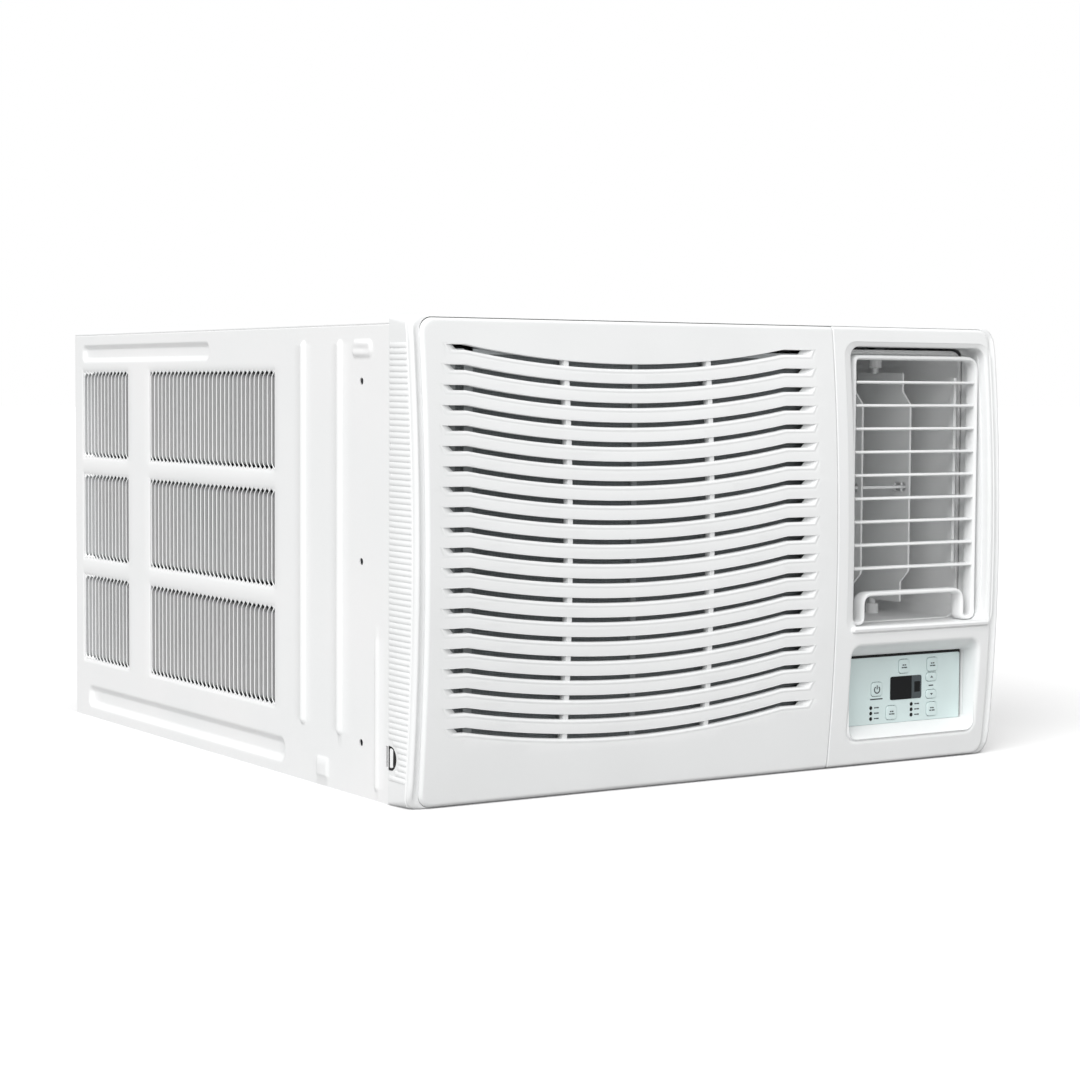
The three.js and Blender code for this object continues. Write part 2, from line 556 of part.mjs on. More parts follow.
// ---------------------------------------------------------------- bulkhead and drive
const wallHalf = trayHalf - SHEET - GAP; // the bulkhead stands inside the pan's upturned sides
piece("bulkhead", cut(
  box(-wallHalf, wallHalf, BULKHEAD_Y, BULKHEAD_Y + SHEET, SHEET + GAP, CASE_H - lip - 1),
  rod("y", AXLE_X, AXLE_Z, 30, BULKHEAD_Y - 1, BULKHEAD_Y + 3, 20),
  box(286, 322, BULKHEAD_Y - 1, BULKHEAD_Y + 3, 20, 60),
), ZINC_STEEL);
piece("motor_shaft", rod("y", AXLE_X, AXLE_Z, 6, 150, 640, 12), ZINC_STEEL);
piece("fan_motor", cut(
  join(
    rod("y", AXLE_X, AXLE_Z, 60, 236, 316, 20),
    rod("y", AXLE_X, AXLE_Z, 24, 228, 324, 16),
  ),
  rod("y", AXLE_X, AXLE_Z, 6.8, 220, 330, 12),
), BLACK_PAINT);
const saddle = cut(
  join(
    box(AXLE_X - 62, AXLE_X + 62, 256, 296, SHEET + GAP, SHEET + GAP + 3),
    box(AXLE_X - 50, AXLE_X + 50, 262, 290, SHEET + GAP, AXLE_Z - 30),
  ),
  box(AXLE_X - 44, AXLE_X + 44, 250, 300, 12, AXLE_Z - 68),
  rod("y", AXLE_X, AXLE_Z, 60.5, 250, 300, 20),
);
piece("motor_bracket", saddle, ZINC_STEEL);

// ---------------------------------------------------------------- outdoor side
const FAN_Y = 596;
function condenserFan() {
  const blades = [];
  for (let i = 0; i < 5; i++) {
    const outline = new THREE.Shape();
    outline.moveTo(24, -16).quadraticCurveTo(90, -52, 166, -62);
    outline.quadraticCurveTo(176, 0, 160, 58).quadraticCurveTo(90, 40, 24, 16);
    const flat = { depth: 2.5, bevelEnabled: false, curveSegments: 3 };
    const geometry = new THREE.ExtrudeGeometry(outline, flat);
    geometry.translate(0, 0, -1.25).rotateX(0.42).rotateZ((2 * Math.PI * i) / 5).rotateX(Math.PI / 2);
    blades.push(toSolid(geometry.translate(AXLE_X, FAN_Y, AXLE_Z)));
  }
  const disc = rod("y", AXLE_X, AXLE_Z, 172, FAN_Y - 26, FAN_Y + 26, 36);
  const slinger = cut(
    rod("y", AXLE_X, AXLE_Z, 172, FAN_Y + 14, FAN_Y + 22, 36),
    rod("y", AXLE_X, AXLE_Z, 165, FAN_Y, FAN_Y + 30, 36),
  );
  const hub = rod("y", AXLE_X, AXLE_Z, 34, FAN_Y - 20, FAN_Y + 20, 20);
  const bore = rod("y", AXLE_X, AXLE_Z, 6.8, FAN_Y - 40, FAN_Y + 40, 12);
  return cut(join(hub, slinger, join(...blades).intersect(disc)), bore);
}
piece("condenser_fan", condenserFan(), DARK_PLASTIC);

const SHROUD_Y = 650;
piece("fan_shroud", cut(
  join(
    box(-325, 300, SHROUD_Y - 2, SHROUD_Y, TRAY_H + 1, 410),
    rod("y", AXLE_X, AXLE_Z, 181, FAN_Y, SHROUD_Y, 32),
  ),
  rod("y", AXLE_X, AXLE_Z, 178, FAN_Y - 1, SHROUD_Y + 1, 32),
), ZINC_STEEL);

const REAR_COIL = { x0: -316, x1: 306, y0: 668, y1: 706, z0: 12, z1: 408 };
piece("condenser_coil", join(
  box(REAR_COIL.x0, REAR_COIL.x1, REAR_COIL.y0, REAR_COIL.y1, REAR_COIL.z0, REAR_COIL.z1),
  box(REAR_COIL.x0 - 2, REAR_COIL.x0 + 1, 656, 714, SHEET + GAP, CASE_H - lip - 1),
  box(REAR_COIL.x1 - 1, REAR_COIL.x1 + 2, 656, 714, SHEET + GAP, CASE_H - lip - 1),
), FIN_ALUMINIUM);
piece("condenser_bends", returnBends(REAR_COIL.x1 + 2 + GAP, 687, 24, 396, 10, 1), COPPER);

const PUMP = { x: 225, y: 400, r: 60, z0: 24 };
function compressorSolid() {
  const profile = [[0, 0], [48, 0], [60, 14], [60, 205], [52, 226], [30, 240], [0, 244]];
  const body = new THREE.LatheGeometry(profile.map((p) => new THREE.Vector2(...p)), 20);
  body.rotateX(Math.PI / 2).translate(PUMP.x, PUMP.y, PUMP.z0);
  const foot = [];
  for (let i = 0; i < 3; i++) {
    const turn = (2 * Math.PI * i) / 3 + Math.PI / 6;
    foot.push([PUMP.x + 92 * Math.cos(turn), PUMP.y + 92 * Math.sin(turn)]);
  }
  return join(toSolid(body), alongZ(foot, PUMP.z0, PUMP.z0 + 4));
}
piece("compressor", compressorSolid(), BLACK_PAINT);
for (let i = 0; i < 3; i++) {
  const turn = (2 * Math.PI * i) / 3 + Math.PI / 6;
  const x = PUMP.x + 76 * Math.cos(turn);
  const y = PUMP.y + 76 * Math.sin(turn);
  piece(`compressor_mount_${i + 1}`, rod("z", x, y, 13, SHEET + GAP, PUMP.z0 - GAP, 12), RUBBER);
}
piece("accumulator", rod("z", 130, 400, 24, 60, 205, 16), BLACK_PAINT);

const pumpTop = PUMP.z0 + 244;
piece("discharge_pipe", pipe([
  [PUMP.x, PUMP.y, pumpTop + 1], [PUMP.x, PUMP.y, 300], [250, 450, 330], [292, 560, 335],
  [313, 625, 335], [317, 655, 325],
  [317, 662, 290],
], 4.8, 18), COPPER);
piece("suction_pipe", pipe([
  [130, 400, 206], [130, 400, 240], [118, 360, 262], [108, 300, 262], [108, 222, 262],
], 6, 12), COPPER);
piece("liquid_pipe", pipe([[300, 640, 40], [300, 560, 40], [304, 420, 40], [304, 160, 40]], 3.2, 8), COPPER);

const root = new THREE.Group();
root.add(machine);
export default root;
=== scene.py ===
"""A window air conditioner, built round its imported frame: crowned plastic front, louvred steel case, air outlet with
swinging louvres, push-button panel, coils, fans and compressor."""

import math

import bmesh
import bpy
from bpy.props import FloatProperty, IntProperty, PointerProperty, StringProperty
from mathutils import Matrix, Vector
from mathutils.geometry import delaunay_2d_cdt


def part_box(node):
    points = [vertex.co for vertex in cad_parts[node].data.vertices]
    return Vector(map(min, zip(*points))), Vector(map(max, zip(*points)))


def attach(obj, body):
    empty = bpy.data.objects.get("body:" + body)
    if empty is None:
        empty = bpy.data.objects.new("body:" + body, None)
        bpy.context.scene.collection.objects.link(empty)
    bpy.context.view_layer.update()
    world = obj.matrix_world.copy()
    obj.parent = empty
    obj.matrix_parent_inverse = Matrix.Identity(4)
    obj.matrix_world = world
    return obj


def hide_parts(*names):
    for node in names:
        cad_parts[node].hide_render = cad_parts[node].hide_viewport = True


bl_info = {
    "name": "Window Air Conditioner",
    "version": (1, 0, 0),
    "blender": (4, 5, 0),
    "location": "3D View > Sidebar > Air Conditioner",
    "description": "Builds a window air conditioner with a slotted front, louvred case and working outlet",
    "category": "Add Mesh",
}

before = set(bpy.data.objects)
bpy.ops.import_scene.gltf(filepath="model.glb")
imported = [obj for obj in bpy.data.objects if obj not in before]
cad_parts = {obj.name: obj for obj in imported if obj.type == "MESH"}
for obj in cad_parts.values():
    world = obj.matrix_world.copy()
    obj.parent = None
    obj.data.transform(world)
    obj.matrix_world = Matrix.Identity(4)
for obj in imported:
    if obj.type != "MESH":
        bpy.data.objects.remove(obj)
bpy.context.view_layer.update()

# Lengths are in millimetres from the seam between the case and the front: x to the right, y to the rear, z up.
MM = 0.001
SEAM_GAP = 0.3
SEAM_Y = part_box("left_side_panel")[0].y - SEAM_GAP * MM


def span(node):
    """Lowest and highest corner of a frame node, in millimetres from the seam."""
    low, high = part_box(node)
    shift = Vector((0, SEAM_Y, 0))
    return (low - shift) / MM, (high - shift) / MM


FRONT_LOW, FRONT_HIGH = span("front_frame")
FRONT_HALF, FRONT_H = FRONT_HIGH.x, FRONT_HIGH.z
CASE_HALF, CASE_D, CASE_H = span("right_side_panel")[1]
FASCIA_LOW, FASCIA_HIGH = span("control_fascia")


# ---------------------------------------------------------------- sizes and colours that a user would change
def length(name, default, text):
    return FloatProperty(name=name, description=text, default=default, min=0.0)


def colour(name, default, text):
    return StringProperty(name=name, description=text + ", as an sRGB hex value", default=default)


class FrontSettings(bpy.types.PropertyGroup):
    """Sizes of the plastic front, in millimetres"""

    crown: length("Crown", 13.0, "How far the front bulges at mid height")
    band: length("Band width", 10.2, "Width of the rounded band and the hollow inside it")
    rib_pitch: length("Rib pitch", 5.2, "Height of one rib of the skirt")
    slots: IntProperty(name="Slots", description="Number of intake slots", default=20, min=1)
    slot_pitch: length("Slot pitch", 17.64, "Height from slot to slot")
    slot_height: length("Slot height", 4.4, "Height of the opening of a slot")
    slot_sag: length("Slot sag", 15.6, "How far each slot dips in its middle")
    plastic: colour("Plastic", "F3F4F4", "Colour of the moulded front")


class CaseSettings(bpy.types.PropertyGroup):
    """Sizes of the steel case, in millimetres"""

    slat_pitch: length("Slat pitch", 9.5, "Distance from slat to slat in the side vents")
    slat_twist: FloatProperty(name="Slat twist", description="How far a slat is turned, in degrees", default=68.0)
    slat_sink: length("Slat sink", 4.6, "How far a slat's middle lies behind the panel")
    fin_pitch: length("Fin pitch", 3.0, "Distance from fin to fin on the coils")
    paint: colour("Paint", "F5F6F6", "Colour of the powder coat")


class OutletSettings(bpy.types.PropertyGroup):
    """Sizes of the air outlet, in millimetres"""

    blade_thickness: length("Blade thickness", 2.3, "Thickness of a horizontal blade at its front edge")
    bead: length("Frame bead", 4.8, "Width of the bead of the louvre frame")
    lining: colour("Lining", "F6F7F7", "Colour of the duct's foam lining")


class ControlSettings(bpy.types.PropertyGroup):
    """Sizes and colours of the control panel"""

    mark: length("Mark width", 1.2, "Width of a printed line, in millimetres")
    film: colour("Film", "DEEFEE", "Colour of the printed film")
    ink: colour("Ink", "2B3134", "Colour of the printed marks")


class StageSettings(bpy.types.PropertyGroup):
    """Camera, light and floor"""

    lens: length("Lens", 81.83, "Focal length of the camera, in millimetres")
    surround: length("Surround light", 0.48, "Strength of the light from all round")
    key: length("Key light", 2.3, "Strength of the large soft lamp at the front left")
    softness: length("Softness", 50.0, "How wide the lamps look from the object, in degrees")
    floor: colour("Floor", "FFFFFF", "Colour of the floor")


GROUPS = {
    "ac_front": FrontSettings,
    "ac_case": CaseSettings,
    "ac_outlet": OutletSettings,
    "ac_control": ControlSettings,
    "ac_stage": StageSettings,
}


# ---------------------------------------------------------------- building meshes
class Solid:
    """Points and faces in millimetres. A point is (x, y, z) with y counted back from the crowned face, or (x, y, z, 1)
    with y counted from the seam."""

    def __init__(self):
        self.points = []
        self.faces = []

    def add(self, points):
        start = len(self.points)
        self.points += [(*p, 0.0) if len(p) == 3 else tuple(p) for p in points]
        return range(start, len(self.points))

    def skin(self, loops, closed=True, ends=False, ring=False):
        """Quads between loops of equal length. ends closes the first and last, ring joins the last to the first."""
        rows = [self.add(loop) for loop in loops]
        pairs = list(zip(rows, rows[1:])) + ([(rows[-1], rows[0])] if ring else [])
        for a, b in pairs:
            count = len(a)
            for i in range(count if closed else count - 1):
                j = (i + 1) % count
                self.faces.append((a[i], a[j], b[j], b[i]))
        if ends:
            self.faces += [tuple(rows[0]), tuple(reversed(rows[-1]))]
        return self

    def sheet(self, outline, holes, y, fixed=0.0):
        """A flat face at depth y, given as (x, z) outlines."""
        points, edges = [], []
        for outline_or_hole in [outline, *holes]:
            start, count = len(points), len(outline_or_hole)
            points += [Vector(p) for p in outline_or_hole]
            edges += [(start + i, start + (i + 1) % count) for i in range(count)]
        found, _, faces, *_ = delaunay_2d_cdt(points, edges, [], 1, 1e-5)
        ids = self.add([(p.x, y, p.y, fixed) for p in found])
        for face in faces:
            middle = sum((found[i] for i in face), Vector((0, 0))) / len(face)
            if not any(inside(middle, hole) for hole in holes):
                self.faces.append(tuple(ids[i] for i in face))
        return self

    def side_sheet(self, outline, holes, x):
        """A flat face that stands front to back at x, given as (y, z) outlines."""
        flat = Solid().sheet(outline, holes, 0.0)
        ids = self.add([(x, y, z, 1.0) for y, _, z, _ in flat.points])
        self.faces += [tuple(ids[i] for i in face) for face in flat.faces]
        return self

    def prism(self, outline, y0, y1):
        """An (x, z) outline from y0 to y1, counted from the seam."""
        return self.skin([at(y, outline) for y in (y0, y1)], ends=True)

    def block(self, x0, x1, y0, y1, z0, z1):
        return self.prism([(x0, z0), (x1, z0), (x1, z1), (x0, z1)], y0, y1)

    def sweep(self, path, section, side, closed=False):
        """A section of (u, v) pairs along a path: u lies in the path's plane, and v along side."""
        path = [Vector(p) for p in path]
        side = Vector(side).normalized()
        count = len(path)
        loops = []
        for i, p in enumerate(path):
            before = path[i - 1] if closed or i else p
            after = path[(i + 1) % count] if closed or i < count - 1 else p
            across = (after - before).cross(side).normalized()
            loops.append([(*(p + across * u + side * v), 1.0) for u, v in section])
        return self.skin(loops, ends=not closed, ring=closed)


def at(y, outline):
    """An (x, z) outline as points at y, counted from the seam."""
    return [(x, y, z, 1.0) for x, z in outline]


def behind_face(depth, outline):
    """An (x, z) outline as points at a depth behind the crowned face."""
    return [(x, depth, z) for x, z in outline]


def circle(x, z, radius, count=16):
    """A round outline of count points."""
    turns = [2 * math.pi * i / count for i in range(count)]
    return [(x + radius * math.cos(t), z + radius * math.sin(t)) for t in turns]


def inside(point, outline):
    """Whether an (x, z) point lies inside a closed outline."""
    odd = False
    for (ax, az), (bx, bz) in zip(outline, [*outline[1:], outline[0]]):
        if (az > point[1]) != (bz > point[1]) and point[0] < (bx - ax) * (point[1] - az) / (bz - az) + ax:
            odd = not odd
    return odd


def crown_y(z):
    """Where the crowned face lies at height z."""
    crown = bpy.context.scene.ac_front.crown
    half = FRONT_H / 2
    radius = (half**2 + crown**2) / (2 * crown)
    return FRONT_LOW.y + radius - math.sqrt(radius**2 - (z - half) ** 2)


def coat(mesh, material, sharp=32.0):
    """Gives a mesh one material and smooth shading, but for edges turned by more than sharp degrees."""
    mesh.materials.clear()
    mesh.materials.append(material)
    mesh.shade_smooth()
    mesh.set_sharp_from_angle(angle=math.radians(sharp))


def make(name, solid, material, body="cabinet", stands_for=(), bevel=0.0, slices=0.0, sharp=32.0):
    """Turns a solid into a piece that rides on a body. slices is the height between the level cuts that let a flat face
    follow the crown, and sharp the least angle of an edge that stays sharp, in degrees."""
    bm = bmesh.new()
    fixed = bm.verts.layers.float.new("fixed")
    for x, y, z, hold in solid.points:
        bm.verts.new((x, y, z))[fixed] = hold
    bm.verts.ensure_lookup_table()
    for face in solid.faces:
        if len(set(face)) > 2:
            try:
                bm.faces.new([bm.verts[i] for i in face])
            except ValueError:
                continue
    bmesh.ops.remove_doubles(bm, verts=bm.verts, dist=0.002)
    for i in range(1, int(FRONT_H / slices) + 1 if slices else 0):
        geometry = [*bm.verts, *bm.edges, *bm.faces]
        bmesh.ops.bisect_plane(bm, geom=geometry, plane_co=(0, 0, i * slices), plane_no=(0, 0, 1), dist=0.001)
    for v in bm.verts:
        v.co.y += (1.0 - v[fixed]) * crown_y(min(max(v.co.z, 0), FRONT_H))
    bmesh.ops.recalc_face_normals(bm, faces=bm.faces)
    if bevel:
        edges = [e for e in bm.edges if e.is_manifold and e.calc_face_angle(0) > math.radians(30)]
        bmesh.ops.bevel(bm, geom=edges, offset=bevel, segments=2, profile=0.6, affect="EDGES", clamp_overlap=True)
    for v in bm.verts:
        v.co = Vector((v.co.x * MM, v.co.y * MM + SEAM_Y, v.co.z * MM))
    bm.verts.layers.float.remove(fixed)
    mesh = bpy.data.meshes.new(name)
    bm.to_mesh(mesh)
    bm.free()
    coat(mesh, material, sharp)
    piece = bpy.data.objects.new(name, mesh)
    bpy.context.scene.collection.objects.link(piece)
    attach(piece, body)
    if stands_for:
        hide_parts(*stands_for)
    return piece


def rounded(x0, x1, z0, z1, radii, steps=6, along=1):
    """A rounded rectangle as (x, z), from its lower left corner round by the right. radii: one, or one for each corner
    in that order. along cuts each side into that many stretches."""
    if not isinstance(radii, (tuple, list)):
        radii = (radii,) * 4
    centres = ((x0, z0, 1, 1), (x1, z0, -1, 1), (x1, z1, -1, -1), (x0, z1, 1, -1))
    points = []
    for k, (x, z, sx, sz) in enumerate(centres):
        r = max(radii[k], 0.01)
        start = math.pi + k * math.pi / 2
        arc = []
        for i in range(steps + 1):
            turn = start + i * math.pi / 2 / steps
            arc.append((x + sx * r + r * math.cos(turn), z + sz * r + r * math.sin(turn)))
        if points and along > 1:
            points += between(points[-1], arc[0], along)
        points += arc
    if along > 1:
        points += between(points[-1], points[0], along)
    return points


def between(a, b, parts):
    """The points that cut the line from a to b into parts, without its ends."""
    return [tuple(p + (q - p) * i / parts for p, q in zip(a, b)) for i in range(1, parts)]


def round_path(points, radius, steps=6, closed=False):
    """A path with each corner turned into an arc-like curve. Points are vectors or tuples of equal length."""
    points = [Vector(p) for p in points]
    count = len(points)
    path = []
    for i, corner in enumerate(points):
        if not closed and i in (0, count - 1):
            path.append(corner)
            continue
        back = points[i - 1] - corner
        on = points[(i + 1) % count] - corner
        reach = min(radius, back.length * 0.49, on.length * 0.49)
        a, b = corner + back.normalized() * reach, corner + on.normalized() * reach
        for k in range(steps + 1):
            t = k / steps
            path.append(a * (1 - t) ** 2 + corner * 2 * t * (1 - t) + b * t**2)
    return path


def oval(width, height, sides=12, power=1.0):
    """A closed section, round at power 1 and squarer below it."""
    section = []
    for i in range(sides):
        turn = 2 * math.pi * (i + 0.5) / sides
        c, s = math.cos(turn), math.sin(turn)
        u, v = math.copysign(abs(c) ** power, c), math.copysign(abs(s) ** power, s)
        section.append((u * width / 2, v * height / 2))
    return section


# ---------------------------------------------------------------- materials
def linear(hex_colour):
    """An sRGB hex value as linear red, green, blue and alpha."""
    channels = [int(hex_colour[i : i + 2], 16) / 255 for i in (0, 2, 4)]
    return (*(c / 12.92 if c <= 0.04045 else ((c + 0.055) / 1.055) ** 2.4 for c in channels), 1.0)


def node(tree, kind, settings=None, **links):
    """Adds a node. settings are its properties or sockets; links join a socket to another node's output."""
    made = tree.nodes.new(kind)
    for key, value in (settings or {}).items():
        if hasattr(made, key):
            setattr(made, key, value)
        else:
            made.inputs[key].default_value = value
    for key, source in links.items():
        numbered = key[0] == "_"
        tree.links.new(source, made.inputs[int(key[1:]) if numbered else key.replace("_", " ")])
    return made


def per_metre(size_mm):
    """A texture scale at which one feature is size_mm across."""
    return 1.0 / (size_mm * MM)


def surface(name, base, roughness, tone=None, gloss=None, relief=None, **sockets):
    """A material. tone is (grain, dark, light), gloss (grain, low, high) and relief (grain, depth in mm, strength).
    A grain is (size in mm, detail) of a fine noise, or a function that adds a pattern and returns its output."""
    material = bpy.data.materials.new(name)
    material.use_nodes = True
    tree = material.node_tree
    shader = tree.nodes["Principled BSDF"]
    values = {"Base_Color": linear(base), "Roughness": roughness, "Metallic": 0.0, "IOR": 1.5, **sockets}
    for key, value in values.items():
        shader.inputs[key.replace("_", " ")].default_value = value
    place = node(tree, "ShaderNodeTexCoord").outputs["Object"]
    fields = {}

    def field(grain):
        if callable(grain):
            fields[grain] = fields.get(grain) or grain(tree, place)
            return fields[grain]
        settings = {"Scale": per_metre(grain[0]), "Detail": grain[1]}
        return node(tree, "ShaderNodeTexNoise", settings, Vector=place).outputs["Fac"]

    if tone:
        ramp = node(tree, "ShaderNodeValToRGB", Fac=field(tone[0]))
        for element, shade, position in zip(ramp.color_ramp.elements, tone[1:], (0.3, 0.7)):
            element.color, element.position = linear(shade), position
        tree.links.new(ramp.outputs["Color"], shader.inputs["Base Color"])
    if gloss:
        spread = node(tree, "ShaderNodeMapRange", {"To Min": gloss[1], "To Max": gloss[2]}, Value=field(gloss[0]))
        tree.links.new(spread.outputs["Result"], shader.inputs["Roughness"])
    if relief:
        depth = {"Distance": relief[1] * MM, "Strength": relief[2]}
        bump = node(tree, "ShaderNodeBump", depth, Height=field(relief[0]))
        tree.links.new(bump.outputs["Normal"], shader.inputs["Normal"])
    return material


def moulded_abs(name, base, light, roughness=0.34):
    """ABS from a spark-eroded mould: a fine, even grain that softens the highlights. The real grain is 0.2 mm, and it
    is drawn coarser to show."""
    gloss = ((30, 2.0), roughness - 0.05, roughness + 0.05)
    return surface(name, base, roughness, ((90, 1.0), base, light), gloss, ((0.9, 3.0), 0.02, 1.0), IOR=1.54)


def powder_coat(base, light, roughness=0.4):
    """Baked powder paint on steel: a soft orange peel of about 3 mm."""
    gloss = ((25, 2.0), roughness - 0.06, roughness + 0.06)
    return surface("powder_coat_white", base, roughness, ((120, 1.0), base, light), gloss, ((3.0, 1.0), 0.015, 1.0))


def galvanised_sheet():
    """Hot-dip galvanised steel: crystal spangles of about 9 mm that differ in brightness and gloss."""
    def spangle(tree, place):
        cells = node(tree, "ShaderNodeTexVoronoi", {"Scale": per_metre(9)}, Vector=place)
        return node(tree, "ShaderNodeSeparateColor", Color=cells.outputs["Color"]).outputs["Red"]

    return surface("galvanised_sheet", "B4B8BA", 0.42, (spangle, "A4A8AA", "C3C7C9"), (spangle, 0.34, 0.52),
                  ((1.5, 2.0), 0.01, 1.0), Metallic=1.0)


def bead_foam(base, light):
    """Expanded bead foam: closed beads of about 4 mm pressed together, matt."""
    def beads(tree, place):
        settings = {"Scale": per_metre(4), "feature": "SMOOTH_F1"}
        return node(tree, "ShaderNodeTexVoronoi", settings, Vector=place).outputs["Distance"]

    return surface("bead_foam", base, 0.75, ((60, 1.0), base, light), relief=(beads, 0.12, 0.5), IOR=1.45)


def fin_aluminium():
    """Stamped aluminium fins: bright edges, a little dull from handling."""
    return surface("fin_aluminium", "C6CACD", 0.38, ((45, 2.0), "B7BBBE", "D2D5D7"), ((6, 2.0), 0.3, 0.5), Metallic=1.0)


def drawn_copper():
    """Drawn copper tube, browned by brazing in patches."""
    return surface("drawn_copper", "C07A4E", 0.3, ((22, 2.0), "9A5A38", "D08C60"), ((5, 2.0), 0.22, 0.45), Metallic=1.0)


def black_enamel():
    """Thick black enamel on a pressed steel can: a glossy coat over slight waves."""
    return surface("black_enamel", "1B1C1E", 0.3, ((30, 2.0), "141516", "242628"), relief=((4, 2.0), 0.03, 1.0),
                  Coat_Weight=0.3)


def moulded_rubber():
    """Moulded black rubber: matt with a dusty bloom."""
    return surface("moulded_rubber", "1D1D1D", 0.8, ((8, 2.0), "151515", "2A2A2A"), relief=((0.8, 2.0), 0.03, 1.0))


def woven_net():
    """Nylon filter net: threads 1.2 mm apart, drawn 2.4 mm apart so that they show."""
    def threads(tree, place):
        waves = []
        for direction in "XZ":
            settings = {"Scale": per_metre(2.4) / 2, "wave_profile": "SIN", "bands_direction": direction}
            waves.append(node(tree, "ShaderNodeTexWave", settings, Vector=place).outputs["Fac"])
        return node(tree, "ShaderNodeMath", {"operation": "MAXIMUM"}, _0=waves[0], _1=waves[1]).outputs["Value"]

    return surface("woven_net", "8C9195", 0.75, (threads, "7C8185", "A8ADB0"), relief=(threads, 0.4, 1.0))


def printed_film(base):
    """Printed polycarbonate film: satin, with a very fine texture."""
    return surface("printed_film", base, 0.36, ((70, 1.0), base, "D3E1E0"), ((12, 2.0), 0.32, 0.42),
                  ((0.6, 2.0), 0.01, 1.0), IOR=1.58)


def printed_ink(base):
    """Screen ink: dark and slightly uneven."""
    return surface("printed_ink", base, 0.5, ((2, 2.0), base, "4A5257"))


def smoked_acrylic(name="smoked_acrylic", base="0E1012"):
    """Smoked acrylic window: near black with a soft gloss."""
    return surface(name, base, 0.2, gloss=((15, 2.0), 0.16, 0.26), IOR=1.38)


def solder_mask():
    """Green solder mask over copper tracks."""
    def tracks(tree, place):
        settings = {"Scale": per_metre(5), "distance": "CHEBYCHEV"}
        return node(tree, "ShaderNodeTexVoronoi", settings, Vector=place).outputs["Distance"]

    return surface("solder_mask", "2C6B45", 0.35, (tracks, "24593A", "37805A"))


def pale_floor(base):
    """Seamless paper sweep. It shows white but throws little light back up, so that the case keeps its relief."""
    material = surface("paper_sweep", base, 1.0, ((400, 1.0), base, "FCFCFC"), Specular_IOR_Level=0.0)
    tree = material.node_tree
    target = tree.nodes["Principled BSDF"].inputs["Base Color"]
    seen = node(tree, "ShaderNodeLightPath").outputs["Is Camera Ray"]
    mix = node(tree, "ShaderNodeMix", {"data_type": "RGBA"}, _0=seen, _7=target.links[0].from_socket)
    mix.inputs[6].default_value = linear("A8A8A8")
    tree.links.new(mix.outputs[2], target)
    return material


LOOKS = {}


def look(name):
    """Each finish is made once, when a piece first asks for it."""
    scene = bpy.context.scene
    makers = {
        "white_abs": lambda: moulded_abs("moulded_abs_white", scene.ac_front.plastic, "F6F7F7"),
        "grey_abs": lambda: moulded_abs("moulded_abs_grey", "B9BDBF", "C6CACC", 0.45),
        "dark_abs": lambda: moulded_abs("moulded_abs_dark", "2A2D30", "34383B", 0.45),
        "white_paint": lambda: powder_coat(scene.ac_case.paint, "F8F8F8"),
        "galvanised": galvanised_sheet,
        "foam": lambda: bead_foam(scene.ac_outlet.lining, "FAFAFA"),
        "fins": fin_aluminium,
        "copper": drawn_copper,
        "enamel": black_enamel,
        "rubber": moulded_rubber,
        "net": woven_net,
        "film": lambda: printed_film(scene.ac_control.film),
        "ink": lambda: printed_ink(scene.ac_control.ink),
        "acrylic": smoked_acrylic,
        "receiver": lambda: smoked_acrylic("smoked_acrylic_pale", "50575A"),
        "board": solder_mask,
        "floor": lambda: pale_floor(scene.ac_stage.floor),
    }
    if name not in LOOKS:
        LOOKS[name] = makers[name]()
    return LOOKS[name]


def dress(material, *nodes):
    """Gives frame nodes that stay on show a finish."""
    for name in nodes:
        coat(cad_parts[name].data, look(material))


# ---------------------------------------------------------------- the front
SEAM_X = span("intake_grille")[1].x - 4.0 - SEAM_GAP  # its pin sticks out by 4 mm beside the panel
FACE_HALF = 328.8
FACE_EDGE_Z = 1.3
PANEL_T = 7.0
# Left, right, lower and upper edge of the two openings beside the hinged panel.
OUTLET = (150.0, 323.0, 137.0, 410.0)
POCKET = (150.0, 313.5, 25.5, 118.5)
CORD_Y, CORD_Z, CORD_R = -5.0, 42.0, 11.0  # middle and radius of the cord's half-round way out
RIB_BOTTOM, RIB_TOP, RIB_STAND = 24.6, 407.0, 1.1
SLOT_MIDDLE, SLOT_HALF, SLOT_TOP = -110.0, 176.0, 403.1
SLOT_LEFT, SLOT_RIGHT = -312.0, 101.0


def border_loop(inset, inset_z, depth, radius, fixed=0.0):
    """One turn round the front's border."""
    half = FRONT_HALF - 0.9 - inset
    outline = rounded(-half, half, inset_z, FRONT_H - inset_z, radius, steps=8, along=40)
    return [(x, depth, z, fixed) for x, z in outline]


BAND_REACH = 6.0
# The band's section at the sides: how far in from the skirt, and how far behind the face.
BAND = (
    (0.0, 6.0), (0.05, 4.9), (0.3, 3.7), (0.8, 2.7), (1.5, 1.9), (2.3, 1.35), (3.1, 1.15), (3.9, 1.4), (4.6, 2.0),
    (5.2, 2.8), (5.9, 3.5), (6.8, 3.9), (8.2, 4.0), (10.2, 4.0),
)


